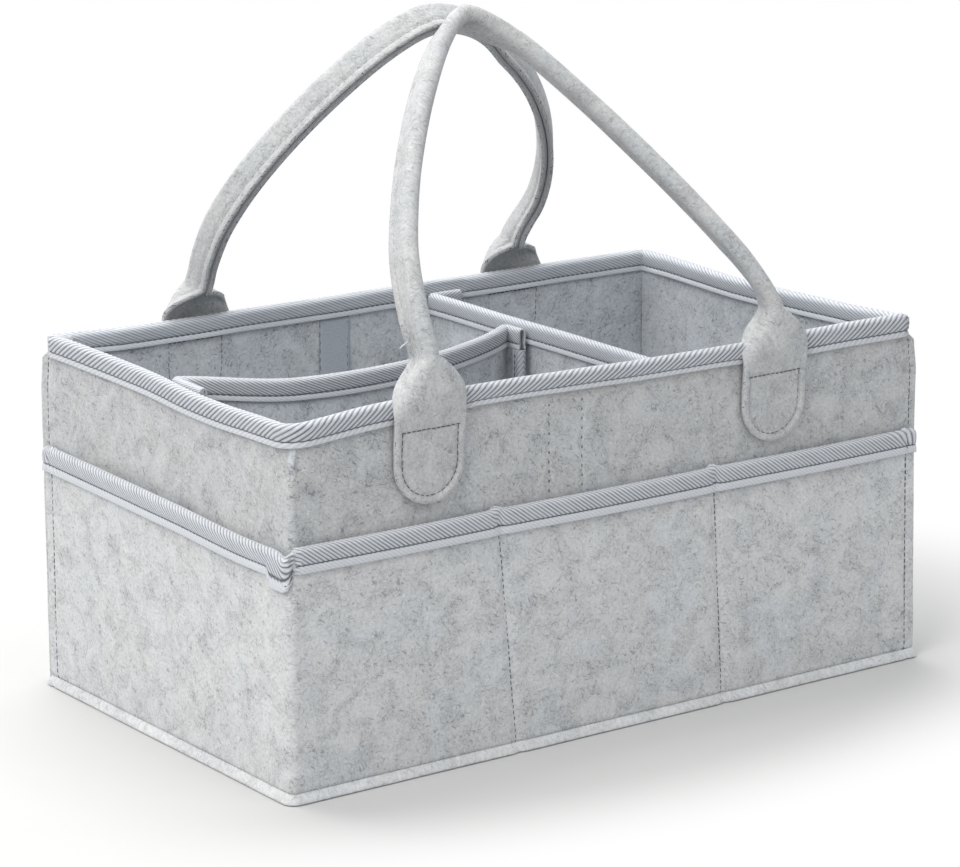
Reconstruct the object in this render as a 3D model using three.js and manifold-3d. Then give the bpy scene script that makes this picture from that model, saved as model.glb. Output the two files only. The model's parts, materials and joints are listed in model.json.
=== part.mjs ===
// A felt caddy: an open box with outside pockets, a divider insert and two folded-strip handles.
// Millimetres, +Z up, +X along the length, the front towards -Y, the origin under the middle of the base.
import * as THREE from "three";
import { mergeVertices } from "three/addons/utils/BufferGeometryUtils.js";
import Module from "manifold-3d";

const wasm = await Module();
wasm.setup();

// Felt walls, measured over their outside faces
const wallLength = 370;
const wallWidth = 212;
const wallHeight = 179;
const wallFold = 9; // outside radius of the two folded corners
const feltThickness = 3;
const seamFlange = 12; // length turned in behind the other wall at a sewn corner
const seamBend = 4; // outside radius of that turn
const baseUpturn = 8; // height of the base's turned-up edge

const layerGap = 0.3; // layers sewn together keep this much apart
const cutOverrun = 1; // cutters reach this far past the faces they open

// Twill tape folded over every cut edge
const tapeThickness = 1;
const tapeDrop = 11; // from the folded top to the lower edge

// Outside pockets
const pocketHeight = 120.7;
const pocketThickness = 2.5;

// Loop tape inside the front and back walls
const loopWidth = 20;
const loopThickness = 1;
const loopBottom = 12;
const loopTop = 165;
const frontLoopX = -28.8;
const backLoopX = -16.4;

// Divider insert
const crossX = 38;
const crossHeight = 176;
const longHeight = 172;
const longLeftY = 22; // where the long divider meets the left wall
const longRightY = 24; // where it meets the cross divider
const longBow = 38; // how far it sags towards the front
const dividerTab = 17.5; // length of a turned end
const dividerFold = 3.5; // radius of that turn, at the middle of the felt
const edgeTapeWidth = 6.5; // tape on the upright edges of the long divider
const hookThickness = 1;
const hookBottom = 20;
const hookTop = 150;

// Handle strips: a tongue tab is sewn on below the hinge line, and the strip folds in half above the rim
const hingeDrop = 14.8; // the hinge line lies this far below the top of the rim
const tabWidth = 38.8;
const tabStraight = 14; // straight part of the tongue, above its round end
const gripStrip = 35; // width of the strip where it is folded
const gripFold = 3; // radius of the lengthwise fold, at the middle of the felt
const gripFoldAngle = 95; // half the fold, in degrees, so that the raw edges come together
const neckLength = 36; // the strip goes from flat to folded over this length
const neckClearance = 1.2; // the fold starts this far above the rim
const meetY = 11; // the two grips lean together here
const meetGap = 0.6;
const archSteps = 40; // sections along each half of a handle
const twistStart = 15; // a leg turns about its own length from here to
const twistRun = 45; // this much higher, and turns back
const twistEnd = 25; // over this much below the apex
// Each leg leaves its foot upright, then tilts inwards and turns, both in degrees.
const frontHandle = {
  apexX: -13,
  rise: 209.5,
  leg: 23.5,
  bend: 78,
  left: { footX: -110, pull: 53, tilt: -4, apexPull: 19.5, twist: -4 },
  right: { footX: 95.3, pull: 48, tilt: 21, apexPull: 22, twist: -29 },
};
const backHandle = {
  apexX: -16.5,
  rise: 194,
  leg: 23,
  bend: 72.5,
  left: { footX: -101, pull: 54, tilt: -25, apexPull: 28, twist: -1 },
  right: { footX: 96.4, pull: 67, tilt: -18, apexPull: 55, twist: 22 },
};

// Sizes that follow from those
const halfLength = wallLength / 2;
const halfWidth = wallWidth / 2;
const tapeLayer = layerGap + tapeThickness; // a tape leg and the gap under it
const overTape = tapeLayer + layerGap; // a layer that lies over a tape leg starts here
const rimTop = wallHeight + tapeLayer;
const pocketInner = overTape;
const pocketOuter = pocketInner + pocketThickness;
const pocketProud = pocketOuter + tapeLayer;
const dividerBottom = baseUpturn + layerGap;
const crossInset = overTape + hookThickness + layerGap + feltThickness / 2; // wall face to the tab's middle
const longInset = crossInset + tapeLayer; // the same, with edge tape under the hook patch
const ridgeY = halfWidth + overTape + feltThickness / 2; // middle of a handle tab
const hingeHeight = rimTop - hingeDrop;
const neckStart = hingeDrop + neckClearance;

const felt = new THREE.MeshStandardMaterial({ color: 0xb9bcbf, roughness: 0.95, metalness: 0 });
const handleFelt = new THREE.MeshStandardMaterial({ color: 0xbcbec0, roughness: 0.95, metalness: 0 });
const twill = new THREE.MeshStandardMaterial({ color: 0xb4bcc4, roughness: 0.8, metalness: 0 });
const hookAndLoop = new THREE.MeshStandardMaterial({ color: 0xa9adb1, roughness: 0.9, metalness: 0 });

// A path through the given corners, each but the ends rounded to its radius.
function roundedPath(corners, radii, steps = 8) {
  const points = [corners[0].clone()];
  for (let i = 1; i < corners.length - 1; i++) {
    const corner = corners[i];
    const back = corners[i - 1].clone().sub(corner).normalize();
    const ahead = corners[i + 1].clone().sub(corner).normalize();
    const half = back.angleTo(ahead) / 2;
    const inwards = back.clone().add(ahead).normalize();
    const centre = inwards.multiplyScalar(radii[i - 1] / Math.sin(half)).add(corner);
    const first = back.multiplyScalar(radii[i - 1] / Math.tan(half)).add(corner).sub(centre);
    const turn = Math.PI - 2 * half;
    const way = Math.sign(first.cross(corner.clone().sub(centre)));
    const origin = new THREE.Vector2();
    for (let k = 0; k <= steps; k++) {
      points.push(first.clone().rotateAround(origin, (way * turn * k) / steps).add(centre));
    }
  }
  points.push(corners[corners.length - 1].clone());
  return points;
}

// The path moved to its right-hand side, which is the outside of the box.
function offsetPath(points, distance) {
  return points.map((point, i) => {
    const before = i > 0 ? point.clone().sub(points[i - 1]).normalize() : null;
    const after = i < points.length - 1 ? points[i + 1].clone().sub(point).normalize() : null;
    const first = before ?? after;
    const second = after ?? before;
    const along = first.clone().add(second).normalize();
    const miter = distance / along.dot(first);
    return new THREE.Vector2(point.x + along.y * miter, point.y - along.x * miter);
  });
}

function stripShape(points, inner, outer) {
  return new THREE.Shape([...offsetPath(points, inner).reverse(), ...offsetPath(points, outer)]);
}

function extrude(shape, bottom, top) {
  const geometry = new THREE.ExtrudeGeometry(shape, { depth: top - bottom, bevelEnabled: false });
  return geometry.translate(0, 0, bottom);
}

function boxBetween(low, high) {
  const size = new THREE.Vector3().subVectors(high, low);
  const middle = new THREE.Vector3().addVectors(high, low).multiplyScalar(0.5);
  return new THREE.BoxGeometry(size.x, size.y, size.z).translate(middle.x, middle.y, middle.z);
}

function solidOf(geometry) {
  const bare = geometry.clone();
  bare.deleteAttribute("normal");
  bare.deleteAttribute("uv");
  const merged = mergeVertices(bare, 1e-4);
  const mesh = new wasm.Mesh({
    numProp: 3,
    vertProperties: merged.attributes.position.array,
    triVerts: new Uint32Array(merged.index.array),
  });
  return new wasm.Manifold(mesh);
}

function cut(geometry, ...cutters) {
  const solid = cutters.reduce((whole, cutter) => whole.subtract(solidOf(cutter)), solidOf(geometry));
  const mesh = solid.getMesh();
  const result = new THREE.BufferGeometry();
  result.setAttribute("position", new THREE.BufferAttribute(mesh.vertProperties, 3));
  result.setIndex(new THREE.BufferAttribute(mesh.triVerts, 1));
  result.computeVertexNormals();
  return result;
}

function piece(name, geometry, material) {
  const mesh = new THREE.Mesh(geometry, material);
  mesh.name = name;
  return mesh;
}

// A closed loop of the box outline, moved out by the given distance.
function boxLoop(distance) {
  const x = halfLength + distance;
  const y = halfWidth + distance;
  const fold = Math.max(wallFold + distance, layerGap);
  const square = Math.max(distance, layerGap);
  const corners = [
    [x, 0],
    [x, y],
    [-x, y],
    [-x, -y],
    [x, -y],
    [x, 0],
  ].map(([px, py]) => new THREE.Vector2(px, py));
  return roundedPath(corners, [fold, square, fold, square]).slice(0, -1);
}

// Tape folded over the upper edge of a strip that lies between two offsets from a path.
function foldedTape(points, inner, outer, feltTop) {
  const top = feltTop + tapeLayer;
  const block = extrude(stripShape(points, inner - tapeLayer, outer + tapeLayer), top - tapeDrop, top);
  const longer = offsetEnds(points, cutOverrun);
  const slot = stripShape(longer, inner - layerGap, outer + layerGap);
  return cut(block, extrude(slot, top - tapeDrop - cutOverrun, top - tapeThickness));
}

// The path with both ends lengthened.
function offsetEnds(points, distance) {
  const last = points.length - 1;
  const start = points[0].clone().sub(points[1]).setLength(distance).add(points[0]);
  const end = points[last].clone().sub(points[last - 1]).setLength(distance).add(points[last]);
  return [start, ...points.slice(1, -1), end];
}

const vector = (x, y) => new THREE.Vector2(x, y);

// Shell: base, walls, rim tape and loop strips
function makeShell() {
  const shell = new THREE.Group();
  const inside = feltThickness + layerGap; // from a wall's outside face to the layer inside it

  const trayOuter = new THREE.Shape(boxLoop(-inside));
  const trayInner = new THREE.Shape(boxLoop(-inside - feltThickness));
  const hollow = extrude(trayInner, feltThickness, baseUpturn + cutOverrun);
  const tray = cut(extrude(trayOuter, 0, baseUpturn), hollow);
  shell.add(piece("base_panel", tray, felt));

  const frontLeft = roundedPath(
    [vector(-halfLength, halfWidth), vector(-halfLength, -halfWidth), vector(halfLength, -halfWidth)],
    [wallFold],
  );
  const frontLeftWall = extrude(stripShape(frontLeft, -feltThickness, 0), 0, wallHeight);
  shell.add(piece("front_left_wall", frontLeftWall, felt));

  const flangeY = -halfWidth + inside;
  const flangeX = -halfLength + inside;
  const backRight = roundedPath(
    [
      vector(halfLength - seamFlange, flangeY),
      vector(halfLength, flangeY),
      vector(halfLength, halfWidth),
      vector(flangeX, halfWidth),
      vector(flangeX, halfWidth - seamFlange),
    ],
    [seamBend, wallFold, seamBend],
  );
  const flangeDepth = inside + seamBend + feltThickness;
  const frontFlange = [
    vector(halfLength - seamFlange - cutOverrun, -halfWidth),
    vector(halfLength - feltThickness, -halfWidth + flangeDepth),
  ];
  const backFlange = [
    vector(-halfLength, halfWidth - seamFlange - cutOverrun),
    vector(-halfLength + flangeDepth, halfWidth - feltThickness),
  ];
  const trims = [];
  for (const [low, high] of [frontFlange, backFlange]) {
    for (const [bottom, top] of [
      [-cutOverrun, dividerBottom],
      [rimTop - tapeDrop - layerGap, wallHeight + cutOverrun],
    ]) {
      trims.push(
        boxBetween(new THREE.Vector3(low.x, low.y, bottom), new THREE.Vector3(high.x, high.y, top)),
      );
    }
  }
  const backRightWall = cut(extrude(stripShape(backRight, -feltThickness, 0), 0, wallHeight), ...trims);
  shell.add(piece("back_right_wall", backRightWall, felt));

  const rimBlock = new THREE.Shape(boxLoop(tapeLayer));
  rimBlock.holes.push(new THREE.Path(boxLoop(-feltThickness - tapeLayer)));
  const rimSlot = new THREE.Shape(boxLoop(layerGap));
  rimSlot.holes.push(new THREE.Path(boxLoop(-feltThickness - layerGap)));
  const rim = cut(
    extrude(rimBlock, rimTop - tapeDrop, rimTop),
    extrude(rimSlot, rimTop - tapeDrop - cutOverrun, rimTop - tapeThickness),
  );
  shell.add(piece("rim_binding", rim, twill));

  for (const [name, x, side] of [
    ["front_loop_strip", frontLoopX, -1],
    ["back_loop_strip", backLoopX, 1],
  ]) {
    const strip = new THREE.BoxGeometry(loopWidth, loopThickness, loopTop - loopBottom);
    const mesh = piece(name, strip, hookAndLoop);
    const y = halfWidth - inside - loopThickness / 2;
    mesh.position.set(x, side * y, (loopTop + loopBottom) / 2);
    shell.add(mesh);
  }
  return shell;
}

// Outside pockets: two felt bands, each with tape folded over its mouth
function makePockets() {
  const pockets = new THREE.Group();
  const frontLeft = roundedPath(
    [
      vector(-halfLength, halfWidth + pocketProud),
      vector(-halfLength, -halfWidth),
      vector(halfLength + pocketProud, -halfWidth),
    ],
    [wallFold],
  );
  const backRight = roundedPath(
    [vector(halfLength, -halfWidth), vector(halfLength, halfWidth), vector(-halfLength, halfWidth)],
    [wallFold],
  );
  for (const [side, path] of [
    ["front_left", frontLeft],
    ["back_right", backRight],
  ]) {
    const band = extrude(stripShape(path, pocketInner, pocketOuter), 0, pocketHeight);
    const tape = foldedTape(path, pocketInner, pocketOuter, pocketHeight);
    pockets.add(piece(`${side}_pocket_band`, band, felt));
    pockets.add(piece(`${side}_pocket_binding`, tape, twill));
  }
  return pockets;
}

function hookPatch(name, low, high) {
  const corners = [new THREE.Vector3(low.x, low.y, hookBottom), new THREE.Vector3(high.x, high.y, hookTop)];
  return piece(name, boxBetween(...corners), hookAndLoop);
}

// Cross divider: a straight panel with both ends turned to the right along the walls
function makeCrossDivider() {
  const divider = new THREE.Group();
  const endY = halfWidth - feltThickness - crossInset;
  const tabEnd = crossX + dividerTab;
  const path = roundedPath(
    [vector(tabEnd, -endY), vector(crossX, -endY), vector(crossX, endY), vector(tabEnd, endY)],
    [dividerFold, dividerFold],
  );
  const half = feltThickness / 2;
  const panel = extrude(stripShape(path, -half, half), dividerBottom, crossHeight);
  divider.add(piece("cross_divider_panel", panel, felt));
  divider.add(piece("cross_divider_binding", foldedTape(path, -half, half, crossHeight), twill));
  const near = endY + half + layerGap;
  const far = near + hookThickness;
  const startX = crossX + dividerFold;
  divider.add(hookPatch("cross_divider_front_hook", vector(startX, -far), vector(tabEnd, -near)));
  divider.add(hookPatch("cross_divider_back_hook", vector(startX, near), vector(tabEnd, far)));
  return divider;
}

// Tape folded over the upright edge of a tab that ends at the given point, below the tape on the upper edge.
function edgeTape(end) {
  const half = feltThickness / 2;
  const top = longHeight + tapeLayer - tapeDrop - layerGap;
  const outside = half + tapeLayer;
  const block = boxBetween(
    new THREE.Vector3(end.x - outside, end.y - tapeLayer, dividerBottom),
    new THREE.Vector3(end.x + outside, end.y + edgeTapeWidth, top),
  );
  const inside = half + layerGap;
  const slot = boxBetween(
    new THREE.Vector3(end.x - inside, end.y - layerGap, dividerBottom - cutOverrun),
    new THREE.Vector3(end.x + inside, end.y + edgeTapeWidth + cutOverrun, top + cutOverrun),
  );
  return cut(block, slot);
}

// Long divider: a panel that sags towards the front, with both ends turned that way
function makeLongDivider() {
  const divider = new THREE.Group();
  const half = feltThickness / 2;
  const left = vector(-halfLength + feltThickness + longInset, longLeftY);
  const right = vector(crossX - half - longInset, longRightY);
  const middle = left.clone().add(right).multiplyScalar(0.5);
  const sag = new THREE.QuadraticBezierCurve(left, vector(middle.x, middle.y - 2 * longBow), right);
  const foldRoom = 3 * dividerFold;
  const run = sag
    .getPoints(28)
    .filter((point) => point.distanceTo(left) > foldRoom && point.distanceTo(right) > foldRoom);
  const leftFold = [vector(left.x, left.y - dividerTab), left, run[0]];
  const rightFold = [run[run.length - 1], right, vector(right.x, right.y - dividerTab)];
  const path = [
    ...roundedPath(leftFold, [dividerFold]),
    ...run.slice(1, -1),
    ...roundedPath(rightFold, [dividerFold]),
  ];
  const panel = extrude(stripShape(path, -half, half), dividerBottom, longHeight);
  divider.add(piece("long_divider_panel", panel, felt));
  divider.add(piece("long_divider_binding", foldedTape(path, -half, half, longHeight), twill));
  divider.add(piece("long_divider_left_edge_tape", edgeTape(leftFold[0]), twill));
  divider.add(piece("long_divider_right_edge_tape", edgeTape(rightFold[2]), twill));
  const near = half + tapeLayer + layerGap;
  const far = near + hookThickness;
  const foldEnd = 2 * dividerFold;
  const leftPatch = [vector(left.x - far, left.y - dividerTab), vector(left.x - near, left.y - foldEnd)];
  const rightPatch = [vector(right.x + near, right.y - dividerTab), vector(right.x + far, right.y - foldEnd)];
  divider.add(hookPatch("long_divider_left_hook", ...leftPatch));
  divider.add(hookPatch("long_divider_right_hook", ...rightPatch));
  return divider;
}

// One cross-section of the handle strip as [outward, sideways] pairs: its outer face, then its inner face.
function stripSection(width, foldAngle) {
  const arc = Math.PI * gripFold; // felt length taken up by the lengthwise fold
  const lengths = [-width, -arc, (-2 * arc) / 3, -arc / 3].map((length) => length / 2);
  const stations = [...lengths, 0, ...lengths.map((length) => -length).reverse()];
  const radius = foldAngle > 1e-6 ? arc / 2 / foldAngle : null;
  const faces = [feltThickness / 2, -feltThickness / 2].map((skin) =>
    stations.map((length) => {
      if (radius === null) return [skin, length];
      const inFold = Math.min(Math.abs(length), arc / 2);
      const past = Math.abs(length) - inFold;
      const turn = (foldAngle * inFold) / (arc / 2);
      const outward = (radius + skin) * Math.cos(turn) - radius - past * Math.sin(turn);
      const sideways = (radius + skin) * Math.sin(turn) + past * Math.cos(turn);
      return [outward, Math.sign(length) * sideways];
    }),
  );
  return [...faces[0], ...faces[1].reverse()];
}

// How far the folded section reaches inwards from its ridge, and to either side.
function foldedReach() {
  const section = stripSection(gripStrip, THREE.MathUtils.degToRad(gripFoldAngle));
  const inward = Math.max(...section.map(([outward]) => -outward));
  const sideways = Math.max(...section.map(([, side]) => side));
  return { inward, sideways };
}

// The lean at which a handle's apex comes to the other handle, found by halving.
function leanAngle(handle, distance) {
  const { inward, sideways } = foldedReach();
  let low = 0;
  let high = Math.PI / 3;
  for (let i = 0; i < 40; i++) {
    const angle = (low + high) / 2;
    const straight = handle.rise - neckStart - handle.bend * angle;
    const reach =
      handle.bend * (1 - Math.cos(angle)) +
      (straight + sideways) * Math.sin(angle) +
      inward * Math.cos(angle);
    if (reach < distance) low = angle;
    else high = angle;
  }
  return low;
}

// The arch drawn flat, with x across and y along the lean: up one leg, over the apex and down the other.
function archPath(handle) {
  const legPath = ({ footX, pull, tilt, apexPull }, way) => {
    const neck = vector(footX, neckStart);
    const legTop = vector(footX, neckStart + handle.leg);
    const apex = vector(handle.apexX, handle.rise);
    const turn = way * THREE.MathUtils.degToRad(tilt);
    const rising = vector(0, pull).rotateAround(vector(0, 0), turn).add(legTop);
    const half = new THREE.CurvePath();
    half.add(new THREE.LineCurve(neck, legTop));
    half.add(new THREE.CubicBezierCurve(legTop, rising, vector(apex.x + way * apexPull, apex.y), apex));
    return [vector(footX, layerGap), ...half.getSpacedPoints(archSteps)];
  };
  return [...legPath(handle.right, 1), ...legPath(handle.left, -1).slice(0, -1).reverse()];
}

// How far a leg's section is turned about the leg, at a height along the arch.
function legTwist(handle, leg, along) {
  const start = neckStart + twistStart;
  const turned = THREE.MathUtils.smoothstep(along, start, start + twistRun);
  const back = THREE.MathUtils.smoothstep(along, handle.rise - twistEnd, handle.rise);
  return THREE.MathUtils.degToRad(leg.twist) * turned * (1 - back);
}

// A grip swept along its arch. side is -1 for the front handle and 1 for the back one.
function gripGeometry(handle, side) {
  const lean = leanAngle(handle, ridgeY - side * meetY - meetGap / 2);
  const path = archPath(handle);
  const across = new THREE.Vector3(1, 0, 0);
  const positions = [];
  let ring = 0;
  path.forEach((point, i) => {
    const along = point.y;
    const angle = THREE.MathUtils.clamp((along - neckStart) / handle.bend, 0, lean);
    const straight = Math.max(along - neckStart - handle.bend * lean, 0);
    const inward = handle.bend * (1 - Math.cos(angle)) + straight * Math.sin(lean);
    const upward = Math.min(along, neckStart) + handle.bend * Math.sin(angle) + straight * Math.cos(lean);
    const ridge = new THREE.Vector3(point.x, side * (ridgeY - inward), hingeHeight + upward);
    const facing = new THREE.Vector3(0, side * Math.cos(angle), Math.sin(angle));
    const uphill = new THREE.Vector3(0, -side * Math.sin(angle), Math.cos(angle));
    const ahead = path[Math.min(i + 1, path.length - 1)].clone().sub(path[Math.max(i - 1, 0)]).normalize();
    const sidelong = across.clone().multiplyScalar(ahead.y).addScaledVector(uphill, -ahead.x);
    const twist = legTwist(handle, i <= archSteps + 1 ? handle.right : handle.left, along);
    const cos = Math.cos(twist);
    const sin = Math.sin(twist);
    const outwards = facing.clone().multiplyScalar(cos).addScaledVector(sidelong, sin);
    const outOfArch = sidelong.clone().multiplyScalar(cos).addScaledVector(facing, -sin);
    const folded = THREE.MathUtils.smoothstep(along, neckStart, neckStart + neckLength);
    const width = THREE.MathUtils.lerp(tabWidth, gripStrip, folded);
    const section = stripSection(width, folded * THREE.MathUtils.degToRad(gripFoldAngle));
    ring = section.length;
    for (const [outward, sideways] of section) {
      const place = ridge.clone().addScaledVector(outwards, outward).addScaledVector(outOfArch, sideways);
      positions.push(place.x, place.y, place.z);
    }
  });
  const triangles = [];
  const quad = (a, b, c, d) => {
    const corners = side < 0 ? [a, b, c, a, c, d] : [a, c, b, a, d, c];
    triangles.push(...corners);
  };
  for (let k = 0; k < path.length - 1; k++) {
    for (let j = 0; j < ring; j++) {
      const next = (j + 1) % ring;
      quad(k * ring + j, k * ring + next, (k + 1) * ring + next, (k + 1) * ring + j);
    }
  }
  const lastRing = (path.length - 1) * ring;
  for (let j = 0; j < ring / 2 - 1; j++) {
    const opposite = ring - 1 - j;
    quad(j, opposite, opposite - 1, j + 1);
    quad(lastRing + j, lastRing + j + 1, lastRing + opposite - 1, lastRing + opposite);
  }
  const geometry = new THREE.BufferGeometry();
  geometry.setAttribute("position", new THREE.Float32BufferAttribute(positions, 3));
  geometry.setIndex(triangles);
  geometry.computeVertexNormals();
  return geometry;
}

// A tongue tab, round at its lower end, with its top on the hinge line.
function tabGeometry() {
  const radius = tabWidth / 2;
  const tongue = new THREE.Shape();
  tongue.moveTo(radius, 0);
  tongue.lineTo(-radius, 0);
  tongue.lineTo(-radius, -tabStraight);
  tongue.absarc(0, -tabStraight, radius, Math.PI, 2 * Math.PI, false);
  const options = { depth: feltThickness, bevelEnabled: false, curveSegments: 20 };
  return new THREE.ExtrudeGeometry(tongue, options).translate(0, 0, -feltThickness / 2).rotateX(Math.PI / 2);
}

function makeHandle(name, handle, side) {
  const group = new THREE.Group();
  group.add(piece(name, gripGeometry(handle, side), handleFelt));
  for (const end of ["left", "right"]) {
    const tab = piece(`${name}_${end}_tab`, tabGeometry(), handleFelt);
    tab.position.set(handle[end].footX, side * ridgeY, hingeHeight);
    group.add(tab);
  }
  return group;
}

const caddy = new THREE.Group();
caddy.name = "felt_caddy";
caddy.add(makeShell(), makePockets(), makeCrossDivider(), makeLongDivider());
caddy.add(makeHandle("front_handle", frontHandle, -1), makeHandle("back_handle", backHandle, 1));

export default caddy;
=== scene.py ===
import json
import math

import bpy
import numpy as np
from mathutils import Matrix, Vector

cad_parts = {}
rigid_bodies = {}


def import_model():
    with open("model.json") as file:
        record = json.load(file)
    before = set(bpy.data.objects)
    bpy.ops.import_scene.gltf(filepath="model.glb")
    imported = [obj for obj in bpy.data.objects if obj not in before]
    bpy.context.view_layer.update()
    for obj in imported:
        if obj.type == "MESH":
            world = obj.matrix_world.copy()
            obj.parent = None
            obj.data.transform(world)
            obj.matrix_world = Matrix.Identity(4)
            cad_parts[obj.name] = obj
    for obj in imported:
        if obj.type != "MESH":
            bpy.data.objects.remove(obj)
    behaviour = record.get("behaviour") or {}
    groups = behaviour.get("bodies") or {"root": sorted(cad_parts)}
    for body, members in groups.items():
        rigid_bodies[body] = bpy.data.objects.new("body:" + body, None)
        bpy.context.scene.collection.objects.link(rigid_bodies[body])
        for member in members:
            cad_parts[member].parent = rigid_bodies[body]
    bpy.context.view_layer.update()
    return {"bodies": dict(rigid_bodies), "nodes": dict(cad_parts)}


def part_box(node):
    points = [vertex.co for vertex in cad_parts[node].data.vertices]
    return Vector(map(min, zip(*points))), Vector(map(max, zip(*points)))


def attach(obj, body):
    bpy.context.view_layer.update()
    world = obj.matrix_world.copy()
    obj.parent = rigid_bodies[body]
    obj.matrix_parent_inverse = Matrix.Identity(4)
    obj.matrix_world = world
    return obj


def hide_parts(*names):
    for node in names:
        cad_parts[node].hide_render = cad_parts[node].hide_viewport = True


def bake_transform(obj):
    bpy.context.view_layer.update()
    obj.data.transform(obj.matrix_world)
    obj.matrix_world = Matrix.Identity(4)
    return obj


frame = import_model()
print("frame loaded:", len(frame["nodes"]), "nodes")

mm = 0.001  # shapes are worked out in millimetres and stored in metres


# Sizes that the frame gives
def nodeBox(node):
    low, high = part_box(node)
    return np.array(low) / mm, np.array(high) / mm


wallLow, wallHigh = nodeBox("front_left_wall")
halfLength = -wallLow[0]
halfWidth = -wallLow[1]
wallTop = wallHigh[2]
rimLow, rimHigh = nodeBox("rim_binding")
rimTop = rimHigh[2]
tapeDrop = rimTop - rimLow[2]
bandLow, bandHigh = nodeBox("front_left_pocket_band")
pocketTop = bandHigh[2]
bandOuter = -halfLength - bandLow[0]
tabLow, tabHigh = nodeBox("front_handle_left_tab")
feltThick = tabHigh[1] - tabLow[1]
tabWidth = tabHigh[0] - tabLow[0]
hingeZ = tabHigh[2]


# Small shape helpers
def ease(x, low, high):
    t = np.clip((x - low) / (high - low), 0, 1)
    return t * t * (3 - 2 * t)


def hump(x, middle, reach):
    return np.exp(-(((x - middle) / reach) ** 2))


def crest(x, half):
    # 1 in the middle, 0 from half away on
    return np.cos(np.pi / 2 * np.clip(x / half, -1, 1))


def bowed(first, pull, last, t):
    # a curve from first to last, drawn towards pull
    return (1 - t) ** 2 * first + 2 * t * (1 - t) * pull + t**2 * last


def runLengths(line):
    # the length along a line up to each of its points
    return np.concatenate([[0], np.cumsum(np.linalg.norm(np.diff(line, axis=0), axis=1))])


def readAt(s, run, field):
    # a row of points or directions, read at the lengths s
    return np.stack([np.interp(s, run, column) for column in field.T], -1)


def grid(first, second):
    return np.meshgrid(first, second, indexing="ij")


def smoothed(values, times):
    values = values.copy()
    for _ in range(times):
        values[1:-1] = (values[:-2] + 2 * values[1:-1] + values[2:]) / 4
    return values


squareOn = 0.7  # a face looks one way where that part of its normal is over this


def looking(normals, axis):
    # 1 where a face looks to the minus side of an axis, fading to 0 round a corner
    return np.clip(-normals[..., axis], 0, 1) ** 2


def ripple(a, b, seed):
    # slow waves in two directions, the same at each run
    turn = seed * 2.399
    first = np.sin(a / 23 + 1.7 * np.sin(b / 31 + turn) + turn)
    second = np.sin(b / 19 + 1.3 * np.sin(a / 41 - turn) + 2 * turn)
    third = 0.4 * np.sin((a + b) / 11 + 3 * turn)
    return (first + second + third) / 2.4


def fineLine(start, end, step, spots=(), reach=4.0, fineStep=0.7, least=0.3):
    # an even run of numbers, closer together near the given spots
    runs = [np.linspace(start, end, max(2, int(abs(end - start) / step) + 1))]
    for spot in spots:
        runs.append(np.arange(spot - reach, spot + reach + 0.01, fineStep))
    line = np.unique(np.round(np.concatenate(runs), 3))
    line = line[(line >= min(start, end)) & (line <= max(start, end))]
    keep = np.concatenate([[True], np.diff(line) > least])
    keep[-1] = True
    return line[keep]


class PlanPath:
    # a line in plan with rounded corners; its right-hand side is the outside
    cornerPoints = 13

    def __init__(self, corners, radii, closed=False):
        corners = [np.array(c, float) for c in corners]
        points, normals = [], []
        last = len(corners) - 1
        for i, corner in enumerate(corners):
            if i in (0, last):
                ahead = corners[1] - corners[0] if i == 0 else corners[last] - corners[last - 1]
                points.append(corner)
                normals.append(self.right(ahead))
                continue
            back = corners[i - 1] - corner
            ahead = corners[i + 1] - corner
            back /= np.linalg.norm(back)
            ahead /= np.linalg.norm(ahead)
            half = math.acos(np.clip(back @ ahead, -1, 1)) / 2
            run = radii[i - 1] / math.tan(half)
            before = self.right(-back)
            inside = np.sign(-back[0] * ahead[1] + back[1] * ahead[0])
            centre = corner + back * run - inside * before * radii[i - 1]
            for t in np.linspace(0, 1, self.cornerPoints):
                angle = t * (math.pi - 2 * half) * inside
                turn = np.array([[math.cos(angle), -math.sin(angle)], [math.sin(angle), math.cos(angle)]])
                normals.append(turn @ before)
                points.append(centre + inside * normals[-1] * radii[i - 1])
        self.points, self.normals = np.array(points), np.array(normals)
        self.closed = closed
        self.lengths = runLengths(self.points)
        self.total = self.lengths[-1]

    @staticmethod
    def right(ahead):
        return np.array([ahead[1], -ahead[0]]) / np.linalg.norm(ahead)

    def at(self, s):
        # past an open end the line runs straight on
        s = np.asarray(s, float)
        if self.closed:
            s = np.mod(s, self.total)
        points, normals = (readAt(s, self.lengths, field) for field in (self.points, self.normals))
        normals = normals / np.linalg.norm(normals, axis=-1, keepdims=True)
        past = np.clip(s - self.total, 0, None) + np.clip(s, None, 0)
        ahead = np.stack([-normals[..., 1], normals[..., 0]], -1)
        return points + ahead * past[..., None], normals

    def outwards(self, s):
        # the outside's direction in space
        normals = self.at(s)[1]
        return np.concatenate([normals, np.zeros((*normals.shape[:-1], 1))], -1)

    def fold(self, way):
        # the length at the box's rounded corner, where x and y both have the sign of way
        return self.lengths[np.argmax(way * (self.points[:, 0] + self.points[:, 1]))]

    def where(self, x=None, y=None, tries=6000):
        # the length at which the path passes a given x or y
        s = np.linspace(0, self.total, tries)
        points = self.at(s)[0]
        miss = np.abs(points[:, 0] - x) if x is not None else np.abs(points[:, 1] - y)
        return s[np.argmin(miss)]


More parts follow.
